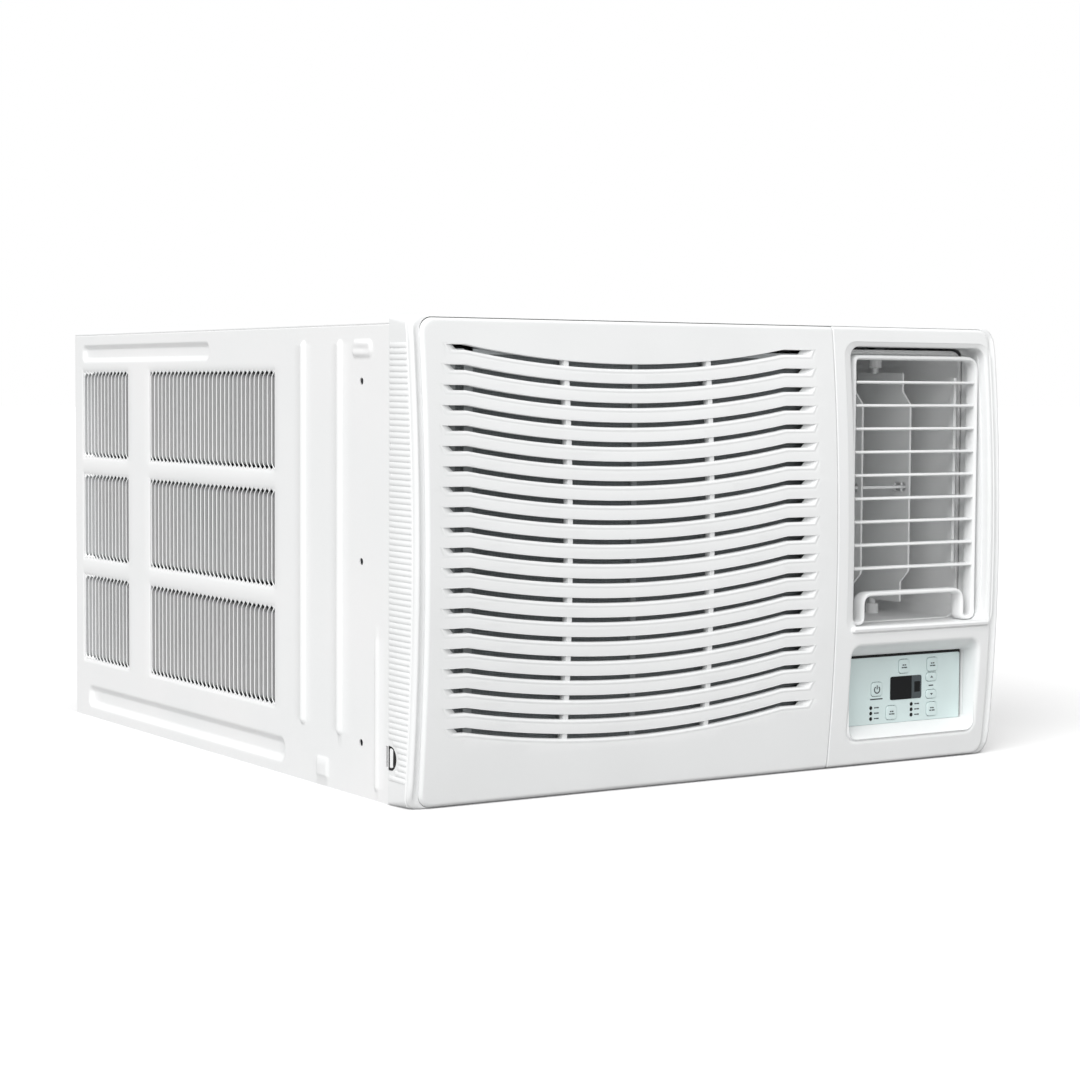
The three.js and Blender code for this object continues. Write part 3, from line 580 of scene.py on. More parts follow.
def front_border():
    """Skirt, rounded band and the recess that the panels sit in, as one closed ring. Above and below, the band runs
    out under the panels' edge."""
    width = bpy.context.scene.ac_front.band
    reach = BAND_REACH
    skirt = (
        (0.7, 0.7, 0.0, 3.0, 1.0), (0.0, 0.0, -1.0, 3.0, 1.0), (0.0, 0.0, -16.0, 6.0, 1.0),
        (0.0, 0.0, reach + 2.8, 9.0), (0.75, 0.0, reach + 2.0, 10.0), (0.75, 0.0, reach + 1.1, 10.5),
    )
    recess = (
        (width, 0.9, reach + 5.4, 12.0), (17.0, 15.0, reach + 5.4, 6.0), (17.0, 15.0, reach + 7.6, 6.0),
        (3.0, 3.0, reach + 8.0, 8.0), (3.0, 3.0, 0.0, 3.0, 1.0),
    )
    loops = [border_loop(*turn) for turn in skirt]
    for inset, depth in BAND:
        share = inset / BAND[-1][0]
        level = 3.2 + (reach - 3.2) * (1 - share) ** 3
        loops.append([
            (x, depth + (level - depth) * ease((abs(z - FRONT_H / 2) - 196.0) / 15.0), z, fixed)
            for x, _, z, fixed in border_loop(width * share, 0.9 * share**0.6, depth, 12.0)
        ])
    return Solid().skin(loops + [border_loop(*turn) for turn in recess], ring=True)


def skirt_ribs(side):
    """Fine level ribs on one side of the skirt, stopping short of the cord's way out on the left."""
    pitch = bpy.context.scene.ac_front.rib_pitch
    solid = Solid()
    z = RIB_BOTTOM
    while z < RIB_TOP:
        start = -2.2
        if side < 0 and abs(z - CORD_Z) < CORD_R + 3.5:
            start = CORD_Y - math.sqrt((CORD_R + 3.6) ** 2 - (z - CORD_Z) ** 2)
        end = crown_y(z) + BAND_REACH + 3.1
        loops = []
        for y, size in ((start, 0.45), (start - 0.7, 0.9), (start - 1.4, 1.0), (end + 1.0, 1.0), (end, 0.5)):
            turns = [math.pi * i / 6 for i in range(7)]
            loops.append(at(y, [
                (side * (FRONT_HALF - 1.1 + RIB_STAND * size * math.sin(t) ** 0.7),
                 z + (pitch / 2 - 0.3) * size * math.cos(t)) for t in turns
            ]))
        solid.skin(loops, ends=True)
        z += pitch
    return solid


def lip(solid, outline_at, steps):
    """Loops from the face into a hole or over an edge: steps are (shift, depth), and outline_at(shift) an outline."""
    solid.skin([behind_face(depth, outline_at(shift)) for shift, depth in steps])
    return outline_at(steps[0][0]), outline_at(steps[-1][0])


ROLL = [(3.6, 0.0), (2.9, 0.0), (1.9, 0.2), (0.9, 0.8), (0.25, 1.7), (0.0, 2.9), (0.0, PANEL_T)]
# The hinged panel's top is cut back behind its front, so that it clears the recess as it swings. A step below nought
# moves the top alone.
HINGED_ROLL = [(4.0, 0.0), (3.3, 0.0), (2.4, 0.2), (1.5, 0.7), (0.7, 1.5), (-0.4, 2.4), (-0.7, 3.6), (-4.0, PANEL_T)]


def slot_curve(x, end_z):
    """Height of a slot's middle line, which dips from end_z at both ends."""
    share = min(abs(x - SLOT_MIDDLE) / SLOT_HALF, 1.0)
    return end_z - bpy.context.scene.ac_front.slot_sag * (1 - share**2)


def slot_outline(end_z, x0, x1, up, down, ramp):
    """Outline of one dipping slot; up and down move its upper and lower edge, ramp draws its ends in."""
    height = bpy.context.scene.ac_front.slot_height / 2
    side = 0.5 * (up + down) - ramp
    inner = [SLOT_MIDDLE + SLOT_HALF * (-1 + 2 * i / 22) for i in range(23)]
    edges = []
    for rise, draw in ((-height - down, 4.6), (height + up, 0.0)):
        edges.append([(x, slot_curve(x, end_z) + rise) for x in (x0 + draw - side, *inner, x1 - draw + side)])
    return edges[0] + edges[1][::-1]


# From the face into a slot: how far its upper and lower edge move out, the depth, and how far its ends draw in.
SLOT_LIP = (
    (1.1, 5.4, 0.0, -1), (0.9, 4.4, 0.16, -1), (0.8, 3.7, 0.2, -1), (0.7, 3.1, 0.02, -1), (0.55, 2.2, -0.12, 0),
    (0.3, 1.3, 0.2, 0), (0.1, 0.5, 0.95, 1), (0.0, 0.0, 2.2, 3), (0.0, 0.0, PANEL_T, 9),
)


def intake_panel():
    """The crowned panel with its slots: crisp above each slot, a rolled lip below it, and ends that ramp in."""
    settings = bpy.context.scene.ac_front
    solid = Solid()

    def outline(shift):
        side = max(shift, 0.0)
        return rounded(
            -FACE_HALF + side, SEAM_X - side * 0.3, FACE_EDGE_Z + side, FRONT_H - FACE_EDGE_Z - abs(shift),
            (12, 1.6, 1.6, 12), steps=6, along=6,
        )

    front, back = lip(solid, outline, HINGED_ROLL)
    front_holes, back_holes = [], []
    for i in range(settings.slots):
        off = 2 * i / (settings.slots - 1) - 1
        x0, end_z = SLOT_LEFT + 8 * off**4, SLOT_TOP - i * settings.slot_pitch
        rings = [slot_outline(end_z, x0, SLOT_RIGHT, up, down, ramp) for up, down, _, ramp in SLOT_LIP]
        solid.skin([behind_face(step[2], ring) for step, ring in zip(SLOT_LIP, rings)])
        front_holes.append(rings[0])
        back_holes.append(rings[-1])
    solid.sheet(front, front_holes, 0.0)
    solid.sheet(back, back_holes, PANEL_T)
    return solid


def panel_ribs():
    """Two upright ribs across the slots, set a little back."""
    solid = Solid()
    for x in (-180.2, -22.3):
        outline = rounded(x - 2.5, x + 2.5, 42, 402, 1.4, steps=4, along=2)
        front, back = lip(solid, lambda s: outline, [(0, 1.5), (0, PANEL_T + 2.0)])
        solid.sheet(front, [], 1.5).sheet(back, [], PANEL_T + 2.0)
    return solid


def filter_frame():
    """Frame of the filter: a rim and upright bars in front of the net."""
    low, high = span("air_filter")
    solid = Solid()
    for x0, x1 in ((low.x, low.x + 5), (-296.0, -291.0), (-282.0, -273.0), (-103.0, -97.0), (high.x - 5, high.x)):
        solid.block(x0, x1, low.y + 0.3, high.y - 1.2, low.z, high.z)
    for z in (low.z, high.z - 5):
        solid.block(low.x + 0.5, high.x - 0.5, low.y + 0.3, high.y - 1.2, z, z + 5)
    return solid


def outlet_surround():
    """Right part of the face with the air outlet and the control pocket."""
    solid = Solid()

    def outline(shift):
        return rounded(
            SEAM_X + 0.6 + shift * 0.3, FACE_HALF - shift, FACE_EDGE_Z + shift, FRONT_H - FACE_EDGE_Z - shift,
            (1.6, 12, 12, 1.6), steps=6, along=6,
        )

    front, back = lip(solid, outline, ROLL)

    def hole(grow, radius):
        x0, x1, z0, z1 = OUTLET
        return rounded(x0 - grow, x1 + grow * 0.6, z0 - grow * 0.6, z1 + grow * 0.5, radius, steps=8, along=4)

    mouth = (
        (10.5, 0.0, 15), (9.6, 0.0, 15), (8.6, 0.45, 14.5), (7.4, 0.75, 14), (2.4, 1.7, 12.5),
        (1.0, 2.2, 12), (0.25, 3.1, 11.5), (0.0, 4.4, 11),
    )
    loops = [behind_face(depth, hole(grow, radius)) for grow, depth, radius in mouth]
    loops += [at(-6.0, hole(0.0, 11)), at(-6.0, hole(2.5, 12)), behind_face(PANEL_T, hole(2.5, 12))]
    solid.skin(loops)
    front_holes, back_holes = [hole(10.5, 15)], [hole(2.5, 12)]

    low, high = FASCIA_LOW, FASCIA_HIGH
    floor = (low.x - SEAM_GAP, high.x + SEAM_GAP + 0.6, low.z - SEAM_GAP, high.z + SEAM_GAP + 0.6)

    def pocket(share, grow, radius):
        edges = [p + (q - p) * share for p, q in zip(POCKET, floor)]
        x0, x1, z0, z1 = (edge + grow * sign for edge, sign in zip(edges, (-1, 1, -1, 1)))
        return rounded(x0, x1, z0, z1, radius, steps=8, along=4)

    mouth = ((4.2, 0.0, 14), (3.4, 0.0, 13.5), (2.2, 0.3, 13), (1.1, 1.0, 12), (0.3, 2.2, 11))
    loops = [behind_face(depth, pocket(0.0, grow, radius)) for grow, depth, radius in mouth]
    y_front, y_floor = -44.0, low.y - 1.2
    loops += [at(y_front + (y_floor - y_front) * share, pocket(share, 0, 11 - 8 * share)) for share in (0.12, 0.9)]
    seat = ((-0.9, 0.4, 2.6), (-0.1, 0.0, 2.4), (3.0, 0.0, 2.4), (3.0, 2.5, 4.0))
    loops += [at(low.y + rise, pocket(1.0, grow, radius)) for rise, grow, radius in seat]
    loops.append(behind_face(PANEL_T, pocket(0.0, 3.0, 12)))
    solid.skin(loops)
    front_holes.append(pocket(0.0, 4.2, 14))
    back_holes.append(pocket(0.0, 3.0, 12))
    solid.sheet(front, front_holes, 0.0)
    solid.sheet(back, back_holes, PANEL_T)
    return solid


def outlet_ledge():
    """Rounded sill that stands out of the face below the outlet."""
    x0, x1, middle, half = OUTLET[0] - 3.0, OUTLET[1] + 1.5, 135.0, 3.2
    root, foot = 0.8, 2.0  # a point deeper than foot stays put, and the others draw back to root at the sill's ends
    section = ((4.5, 1), (0.0, 1), (-2.0, 0.8), (-3.0, 0.3), (-2.6, -0.4), (-0.6, -0.9), (3.0, -1))
    loops = []
    for x, size in ((x0, 0.3), (x0 + 0.8, 0.75), (x0 + 2.2, 1.0), (x1 - 2.2, 1.0), (x1 - 0.8, 0.75), (x1, 0.3)):
        loops.append([
            (x, depth if depth > foot else root + (depth - root) * size, middle + rise * half * size)
            for depth, rise in section
        ])
    return Solid().skin(loops, ends=True)


def cut_with(piece, cutter):
    """Takes the cutter out of the piece, and the cutter out of the scene."""
    change = piece.modifiers.new("cut", "BOOLEAN")
    change.operation, change.object, change.solver = "DIFFERENCE", cutter, "EXACT"
    bpy.context.view_layer.update()
    shaped = bpy.data.meshes.new_from_object(piece.evaluated_get(bpy.context.evaluated_depsgraph_get()))
    piece.modifiers.clear()
    piece.data = shaped
    shaped.set_sharp_from_angle(angle=math.radians(32))
    bpy.data.objects.remove(cutter)


def half_ring(radius):
    """The cord's half-round outline of a radius, as (y, z) points from top to bottom."""
    turns = [math.pi / 2 + math.pi * i / 18 for i in range(19)]
    return [(CORD_Y + radius * math.cos(t), CORD_Z + radius * math.sin(t)) for t in turns]


def half_round(radius, x0, x1, y_end=2.0):
    """A half-round block lying on its side against the seam."""
    ring = half_ring(radius) + [(y_end, CORD_Z - radius), (y_end, CORD_Z + radius)]
    return Solid().skin([[(x, y, z, 1.0) for y, z in ring] for x in (x0, x1)], ends=True)


def cord_cap():
    """The half-round cap in the cord's way out: flush at the seam and sinking a little towards its round side."""
    y_seam = -3.2
    rings = []
    for radius in (8.6, 8.6 * 0.92):
        ring = [(min(y, CORD_Y), z) for y, z in half_ring(radius)]
        rings.append(ring + [(y_seam, CORD_Z - radius), (y_seam, CORD_Z + radius)])

    def skin_x(y, sink):
        return -FRONT_HALF + 1.2 + sink + 3.0 * max(0.0, (-1.0 - y) / 14) ** 1.2

    loops = [[(-FRONT_HALF + 11.5, y, z, 1.0) for y, z in rings[0]]]
    loops += [[(skin_x(y, sink), y, z, 1.0) for y, z in ring] for ring, sink in zip(rings, (0.5, 0.0))]
    return Solid().skin(loops, ends=True)


# ---------------------------------------------------------------- the case
VENT_ROWS = ((288.0, 384.0), (176.0, 271.0), (63.0, 159.0))
VENT_COLUMNS = ((225.0, 517.0), (574.0, 698.0))
VENTS = [(y0, y1, z0, z1) for z0, z1 in VENT_ROWS for y0, y1 in VENT_COLUMNS]
# Pressed beads: middle line from (y, z) to (y, z), width and height.
BEADS = (
    (164, 58, 164, 405, 12, 3.4), (92, 56, 92, 405, 12, 3.4), (22, 13, 22, 141, 10, 1.8), (179, 40, 53, 47, 4, 0.4),
)
# Flat pressings: y from and to, z from and to, corner radius, width of the slope, and how far they stand out.
DISHES = (
    (30, 69, 393, 411, 8, 4, 2.2), (37, 62, 398, 406, 3.5, 4, -1.6), (112, 138, 6, 28, 4, 5, 1.8),
    (369, 699, 393, 413, 8, 6, -4.2), (202, 686, 10, 36, 10, 8, -4.8),
)
CORD_SLIT = (2.2, 4.8, 33.0, 52.0)
SCREW_Y = 51.0
SCREW_HEIGHTS = (49.0, 212.0, 373.0)
SHEET_T = 1.2


def ease(t):
    """A smooth step from 0 to 1."""
    t = min(max(t, 0.0), 1.0)
    return t * t * (3 - 2 * t)


def bead_height(y, z, y0, z0, y1, z1, width, height):
    """Height of a round-topped pressed bead whose middle runs from (y0, z0) to (y1, z1)."""
    run_y, run_z = y1 - y0, z1 - z0
    t = ((y - y0) * run_y + (z - z0) * run_z) / (run_y**2 + run_z**2)
    t = min(max(t, 0.0), 1.0)
    off = math.hypot(y - y0 - t * run_y, z - z0 - t * run_z) / (width / 2)
    return height * math.cos(math.pi / 2 * off) ** 1.15 if off < 1 else 0.0


def dish_depth(y, z, y0, y1, z0, z1, radius, slope, depth):
    """Depth of a flat-bottomed pressing with rounded corners."""
    cy, cz = (y0 + y1) / 2, (z0 + z1) / 2
    qy, qz = abs(y - cy) - (y1 - y0) / 2 + radius, abs(z - cz) - (z1 - z0) / 2 + radius
    inside = radius - math.hypot(max(qy, 0), max(qz, 0)) - min(max(qy, qz), 0)
    return depth * ease(inside / slope)


def pressed(y, z):
    """How far the side panel stands out at a point."""
    out = sum(bead_height(y, z, *bead) for bead in BEADS) + sum(dish_depth(y, z, *dish) for dish in DISHES)
    for y0, y1, z0, z1 in VENTS:
        out -= dish_depth(y, z, y0 - 3, y1 + 3, z0 - 3, z1 + 3, 3, 3.5, 0.8)
    groove = 0.8  # depth and half width of the line pressed in below the top edge
    return out - groove * max(0.0, 1 - abs(z - (CASE_H - 4.2)) / groove)


def marks_to_lines(marks, low, high, step):
    """Sorted grid lines: every mark, and enough between them that no gap is over step."""
    lines = sorted({round(min(max(m, low), high), 3) for m in [*marks, low, high]})
    filled = []
    for a, b in zip(lines, lines[1:]):
        parts = max(1, math.ceil((b - a) / step - 1e-6))
        filled += [a + (b - a) * i / parts for i in range(parts)]
    return [*filled, lines[-1]]


def fan_out(centres, reach, parts):
    """Lines close together round each centre."""
    return [c + reach * (i / parts - 1) for c in centres for i in range(2 * parts + 1)]


def double_skin(us, vs, point, open_at=None):
    """Two skins, SHEET_T apart, over a grid of lines. point(u, v, drop) gives their corners, open_at(u, v) says where
    they are left open, and every free edge of the one is joined to the other."""
    solid = Solid()
    for drop in (0.0, SHEET_T):
        solid.add([point(u, v, drop) for u in us for v in vs])
    wide, total = len(vs), len(us) * len(vs)
    cells, rims = [], {}
    for i in range(len(us) - 1):
        for k in range(wide - 1):
            if open_at and open_at((us[i] + us[i + 1]) / 2, (vs[k] + vs[k + 1]) / 2):
                continue
            a = i * wide + k
            cells.append((a, a + wide, a + wide + 1, a + 1))
    for cell in cells:
        for pair in zip(cell, cell[1:] + cell[:1]):
            rims[frozenset(pair)] = rims.get(frozenset(pair), 0) + 1
    solid.faces = cells + [tuple(total + i for i in cell) for cell in cells]
    solid.faces += [(a, b, b + total, a + total) for (a, b), count in rims.items() if count == 1]
    return solid


def side_panel(side):
    """Pressed side panel with open vents, as a skin with an inner face 1.2 mm behind it."""
    edge_y = fan_out([164, 92], 6.5, 5) + fan_out([22], 5, 4) + fan_out([32, 67], 4, 3)
    edge_y += fan_out([114.5, 135.5], 3, 2) + fan_out([204, 684], 6, 4) + fan_out([371, 697], 5, 4)
    edge_z = fan_out([395, 411, 404], 5, 4) + fan_out([14, 32], 6, 5) + fan_out([56, 407], 6, 4)
    edge_z += [8, 11, 25, 28, 143, 147, *(CASE_H - d for d in (0, 0.4, 1.0, 1.8, 2.8, 3.4, 3.8, 4.2, 4.6, 5.0))]
    for edges, stretches in ((edge_z, VENT_ROWS), (edge_y, VENT_COLUMNS)):
        for a, b in stretches:
            edges += [a - 3, a - 1.2, a, b, b + 1.2, b + 3]
    holes = [*VENTS, CORD_SLIT] if side < 0 else VENTS
    edge_y += [e for h in holes for e in h[:2]]
    edge_z += [e for h in holes for e in h[2:]]

    def open_at(y, z):
        return any(a < y < b and c < z < d for a, b, c, d in holes)

    def corner(z):
        """The top of the panel turns in with a small radius."""
        rise = max(0.0, z - (CASE_H - 3.0))
        return 3.0 - math.sqrt(max(9.0 - rise**2, 0.0))

    def point(y, z, drop):
        return side * (CASE_HALF + pressed(y, z) - corner(z) - drop - 0.2), y, z, 1.0

    ys = marks_to_lines(edge_y, SEAM_GAP + 0.9, CASE_D, 16)
    zs = marks_to_lines(edge_z, 0.0, CASE_H, 14)
    return double_skin(ys, zs, point, open_at)


def vent_slats(side):
    """Strips of the panel between slits, each twisted so that its front edge comes out a little and its rear edge goes
    in, and running back into the panel at both ends."""
    settings = bpy.context.scene.ac_case
    solid = Solid()
    run_in = 8.5
    pivot = 0.72  # share of the strip's width that lies in front of the line it turns about
    twist = ((-0.4, 0.0), (0.04, 0.03), (0.2, 0.2), (0.4, 0.47), (0.6, 0.75), (0.8, 0.94), (1.0, 1.0))
    section = ((0.02, 0), (0.5, 0), (0.98, 0), (0.98, 1.0), (0.5, 1.0), (0.02, 1.0))
    for y0, y1, z0, z1 in VENTS:
        count = round((y1 - y0) / settings.slat_pitch)
        pitch = (y1 - y0) / count
        levels = [(z0 + run_in * along, share) for along, share in twist]
        levels += [(z0 + z1 - z, share) for z, share in reversed(levels)]
        for i in range(count):
            rings = []
            for z, share in levels:
                turn = math.radians(settings.slat_twist) * share
                ring = []
                for across, thick in section:
                    off = (across - pivot) * pitch
                    y = y0 + pitch * (i + pivot) + off * math.cos(turn) - thick * math.sin(turn)
                    x = CASE_HALF - 1.1 - settings.slat_sink * share - off * math.sin(turn) - thick * math.cos(turn)
                    ring.append((side * x, y, min(max(z, z0 - 0.5), z1 + 0.5), 1.0))
                rings.append(ring)
            solid.skin(rings, ends=True)
    return solid


def top_cover():
    """Lid with softly folded sides and a pressed field that stiffens it."""
    half = CASE_HALF - 1.8
    marks = (292, 300, half - 2.5, half - 1, half)
    xs = marks_to_lines([sign * mark for sign in (-1, 1) for mark in marks], -half, half, 40)
    ys = marks_to_lines([2, 60, 68, CASE_D - 60, CASE_D - 52, CASE_D - 2], SEAM_GAP, CASE_D, 40)
    edge = 2.4

    def point(x, y, drop):
        side = max(0.0, abs(x) - (half - edge))
        z = CASE_H - (edge - math.sqrt(max(edge**2 - side**2, 0.0))) * 0.6
        return x, y, z + dish_depth(x, y, -300, 300, 60, CASE_D - 52, 20, 8, 1.4) - 1.5 - drop, 1.0

    return double_skin(xs, ys, point)


# ---------------------------------------------------------------- the outlet
def louvre_frame():
    """One continuous bead: round the outlet, down into two feet and back up to the thick lower bar."""
    low, high = span("louvre_frame")
    bead = bpy.context.scene.ac_outlet.bead
    x0, x1 = low.x + bead / 2, high.x - bead / 2
    z_top, z_foot, z_bar = 402 - bead / 2, low.z + bead / 2, 167.8
    foot = 14.5
    y = (low.y + high.y) / 2 - 2
    corners = [
        (x0, z_top), (x1, z_top), (x1, z_foot), (x1 - foot, z_foot), (x1 - foot, z_bar), (x0 + foot, z_bar),
        (x0 + foot, z_foot), (x0, z_foot),
    ]
    reach = (6, 13, 6, 6, 11, 11, 6, 6)
    path = []
    for i, (corner, radius) in enumerate(zip(corners, reach)):
        three = [corners[i - 1], corner, corners[(i + 1) % len(corners)]]
        path += round_path(three, radius)[1:-1]
    solid = Solid()
    solid.sweep([(x, y, z) for x, z in path], oval(bead, high.y - low.y - 4, 16, 0.75), (0, 1, 0), closed=True)
    return solid


def blade(index):
    """Horizontal blade: a flat wing with a rounded front edge, its pins and its crank."""
    low, high = span(f"horizontal_blade_{index}")
    thickness = bpy.context.scene.ac_outlet.blade_thickness
    x0, x1 = 162.6, 314.4
    y_front, z = low.y, (low.z + high.z) / 2
    chord = 18.0
    profile = []
    for i in range(9):
        turn = math.pi / 2 + math.pi * i / 8
        profile.append((y_front + thickness / 2 * (1 + math.cos(turn)), z + thickness / 2 * math.sin(turn)))
    profile += [(y_front + chord * 0.5, z - 0.85), (y_front + chord, z - 0.45), (y_front + chord, z + 0.45)]
    profile += [(y_front + chord * 0.5, z + 0.85)]
    solid = Solid()
    ends = ((x0, 0.6), (x0 + 0.6, 1.0), (x1 - 0.6, 1.0), (x1, 0.6))
    solid.skin([[(x, y, z + (pz - z) * size, 1.0) for y, pz in profile] for x, size in ends], ends=True)
    solid.sweep([(low.x, y_front + 9, z), (high.x, y_front + 9, z)], oval(3, 3, 10), (0, 0, 1))
    pin_y = y_front + 22
    solid.block(302, 304, y_front + 13, pin_y + 1.2, z - 1.2, z + 1.2)
    solid.sweep([(303, pin_y, z), (309.6, pin_y, z)], oval(2.4, 2.4, 10), (0, 0, 1))
    return solid


VANE_PIN_Y, LINK_PIN_Y = 66.0, 23.0  # the pegs that a vane turns on, and the pin that its tie bar holds


def vane(name):
    """Upright vane: a thin plate with cut corners at its front and a rim that stiffens it."""
    low, high = span(name)
    x = (low.x + high.x) / 2
    front, rear = low.y, high.y
    z0, z1 = 152.5, 385.5
    back = front + 12
    link_low, link_high = span("vane_link")
    corners = [
        (rear, z0), (rear, z1), (back, z1), (back, z1 - 19), (front, z1 - 32), (front, z0 + 32), (back, z0 + 21),
        (back, z0),
    ]
    outline = round_path(corners, 2.2, 4, closed=True)
    window = rounded(link_low.y - 2.6, link_high.y + 1.6, link_low.z - 3.0, link_high.z + 3.0, 1.5, steps=3)

    def narrowed(ring, inset):
        return [(y + inset * (1 if y < rear - 5 else -1), z) for y, z in ring]

    solid = Solid()
    rim = ((0.7, 0.0), (1.25, 0.5), (-1.25, 0.5), (-0.7, 0.0))
    for ring, steps in ((outline, rim), (window, ((1.25, 0), (-1.25, 0)))):
        loops = [[(x + half, y, z, 1.0) for y, z in narrowed(ring, inset)] for half, inset in steps]
        solid.skin(loops, ring=steps is rim)
    for half in (1.25, -1.25):
        solid.side_sheet(narrowed(outline, 0.5), [window], x + half)
    for y, width, a, b in (
        (VANE_PIN_Y, 7, z1 - 1, high.z), (VANE_PIN_Y, 7, low.z, z0 + 1),
        (LINK_PIN_Y, 2.4, link_low.z - 4, link_high.z + 4),
    ):
        solid.sweep([(x, y, a), (x, y, b)], oval(width, width, 20 if width > 5 else 12), (0, 1, 0))
    return solid


def duct_lining():
    """Foam-lined duct with rounded inner corners, pivot bosses for the vanes and an opening to the fan on its left."""
    low, high = span("discharge_duct")
    wall = 4.0
    x0, x1, z0, z1 = low.x + wall, high.x - wall, low.z + wall, high.z - wall
    steps = ((wall - 0.4, low.y + 0.4), (wall - 0.4, high.y), (0.0, high.y), (0.0, low.y + 1.2), (0.8, low.y + 0.2))
    loops = [
        at(y, rounded(x0 - grow, x1 + grow, z0 - grow, z1 + grow, (3, 14, 14, 3), steps=7)) for grow, y in steps
    ]
    solid = Solid().skin(loops, ring=True)
    kept = []
    for face in solid.faces:
        middle = sum((Vector(solid.points[i][:3]) for i in face), Vector()) / len(face)
        if not (middle.x < x0 + 0.5 and low.y + 5 < middle.y < high.y - 5):
            kept.append(face)
    solid.faces = kept
    flank = [(low.y + 1.2, z0 + 3), (high.y, z0 + 3), (high.y, z1 - 3), (low.y + 1.2, z1 - 3)]
    opening = [(92.0, 284.0), (high.y - 6, 284.0), (high.y - 6, 393.0), (92.0, 393.0)]
    for x in (x0, x0 - wall + 0.4):
        solid.side_sheet(flank, [opening], x)
    for name in ("vertical_vane_left", "vertical_vane_right"):
        vane_low, vane_high = span(name)
        x = (vane_low.x + vane_high.x) / 2
        for near, far in ((z1 + 1, z1 - 13.5), (z0 - 1, z0 + 10.5)):
            end = far + (0.8 if far < near else -0.8)
            boss = ((near, 6.4), (end, 6.4), (far, 5.6), (far, 4.2), (near, 4.2))
            rings = [[(px, py, z, 1.0) for px, py in circle(x, VANE_PIN_Y, radius, 28)] for z, radius in boss]
            solid.skin(rings, ring=True)
    return solid


# ---------------------------------------------------------------- the controls
def key_outline(node_name, grow=0.0):
    """Outline of a key's cap, or of its hole where it grows."""
    low, high = span(node_name)
    inset = 0.65 - grow  # the key's flange, which lies behind the film
    return rounded(low.x + inset, high.x - inset, low.z + inset, high.z - inset, 3.2 + grow, steps=6)


KEYS = (
    "power_button", "fan_speed_button", "swing_button", "temperature_up_button", "temperature_down_button",
    "mode_button", "timer_button",
)


def key_cap(node_name):
    """A push key with a slightly domed, softly edged top."""
    low, high = span(node_name)
    steps = ((0.0, high.y), (0.0, low.y + 0.5), (-0.35, low.y + 0.12), (-0.9, low.y))
    return Solid().skin([at(y, key_outline(node_name, grow)) for grow, y in steps], ends=True)


def fascia_plate():
    """The film-faced plate, with a hole for each key, the display and each light."""
    low, high = FASCIA_LOW, FASCIA_HIGH
    holes = [key_outline(name, 0.55) for name in KEYS]
    x0, x1, z0, z1 = display_edges()
    holes.append(rounded(x0 - 0.25, x1 + 0.25, z0 - 0.25, z1 + 0.25, 2.0, steps=4))
    holes += [circle(x, z, 2.0) for x, z in light_places()]
    # The plate stops 2 mm short at its right and top, where the black sheet behind it shows through as painted shade.
    outline = rounded(low.x, high.x - 2.0, low.z, high.z - 2.0, 1.6, steps=4)
    solid = Solid()
    for ring in [outline, *holes]:
        solid.skin([at(y, ring) for y in (low.y, high.y)])
    solid.sheet(outline, holes, low.y, 1.0).sheet(outline, holes, high.y, 1.0)
    return solid


def display_edges():
    """Left, right, lower and upper edge of the display's window."""
    low, high = span("display_window")
    return low.x + 1.5, high.x - 1.5, low.z + 1.5, high.z - 1.5


def light_places():
    """The middle of each indicator light."""
    places = []
    for name in ("indicator_lights_left", "indicator_lights_right"):
        low, high = span(name)
        x, middle = (low.x + high.x) / 2, (low.z + high.z) / 2
        places += [(x, middle + step * 5.4) for step in (1, 0, -1)]
    return places


def print_line(solid, x0, z0, x1, z1, y, width):
    """A printed stroke, just proud of the surface at y."""
    run = Vector((x1 - x0, z1 - z0)).normalized() * width / 2
    across = Vector((-run.y, run.x))
    a, b = Vector((x0, z0)), Vector((x1, z1))
    corners = [a + across, b + across, b - across, a - across]
    solid.prism([tuple(c) for c in corners], y - 0.12, y + 0.2)


def power_mark(solid, x, z, y, width):
    """A broken ring with a stroke through its gap."""
    points = []
    for i in range(23):
        turn = math.radians(125 + 290 * i / 22)
        points.append((x + 3.4 * math.cos(turn), y, z + 3.4 * math.sin(turn)))
    solid.sweep(points, [(-width / 2, -0.1), (width / 2, -0.1), (width / 2, 0.15), (-width / 2, 0.15)], (0, 1, 0))
    print_line(solid, x, z + 0.4, x, z + 4.4, y, width)


def arrow_mark(solid, x, z, y, up):
    """A small triangle that points up or down."""
    sign = 1 if up else -1
    corners = [(x - 1.9, z - 0.9 * sign), (x + 1.9, z - 0.9 * sign), (x, z + 1.2 * sign)]
    solid.prism(corners[:: sign], y - 0.12, y + 0.2)


# ---------------------------------------------------------------- coils
def fin_block(x0, x1, y0, y1, z0, z1):
    """Upright fins on a row of tubes."""
    pitch = bpy.context.scene.ac_case.fin_pitch
    count = int((x1 - x0) / pitch)
    solid = Solid()
    for i in range(count + 1):
        x = x0 + (x1 - x0) * i / count
        solid.block(x - 0.22, x + 0.22, y0, y1, z0, z1)
    return solid


def tube_places(y0, y1, z0, z1, rows):
    """Where the level tubes run, as (y, z), in two staggered columns."""
    pitch = (z1 - z0) / rows
    columns = enumerate((y0 + (y1 - y0) * share for share in (0.28, 0.72)))
    return [(y, z0 + pitch * (i + 0.3 + 0.4 * column)) for column, y in columns for i in range(rows)]


def tube_rows(x0, x1, places):
    """Level tubes through the fins."""
    solid = Solid()
    for y, z in places:
        solid.sweep([(x0, y, z), (x1, y, z)], oval(8, 8, 10), (0, 0, 1))
    return solid


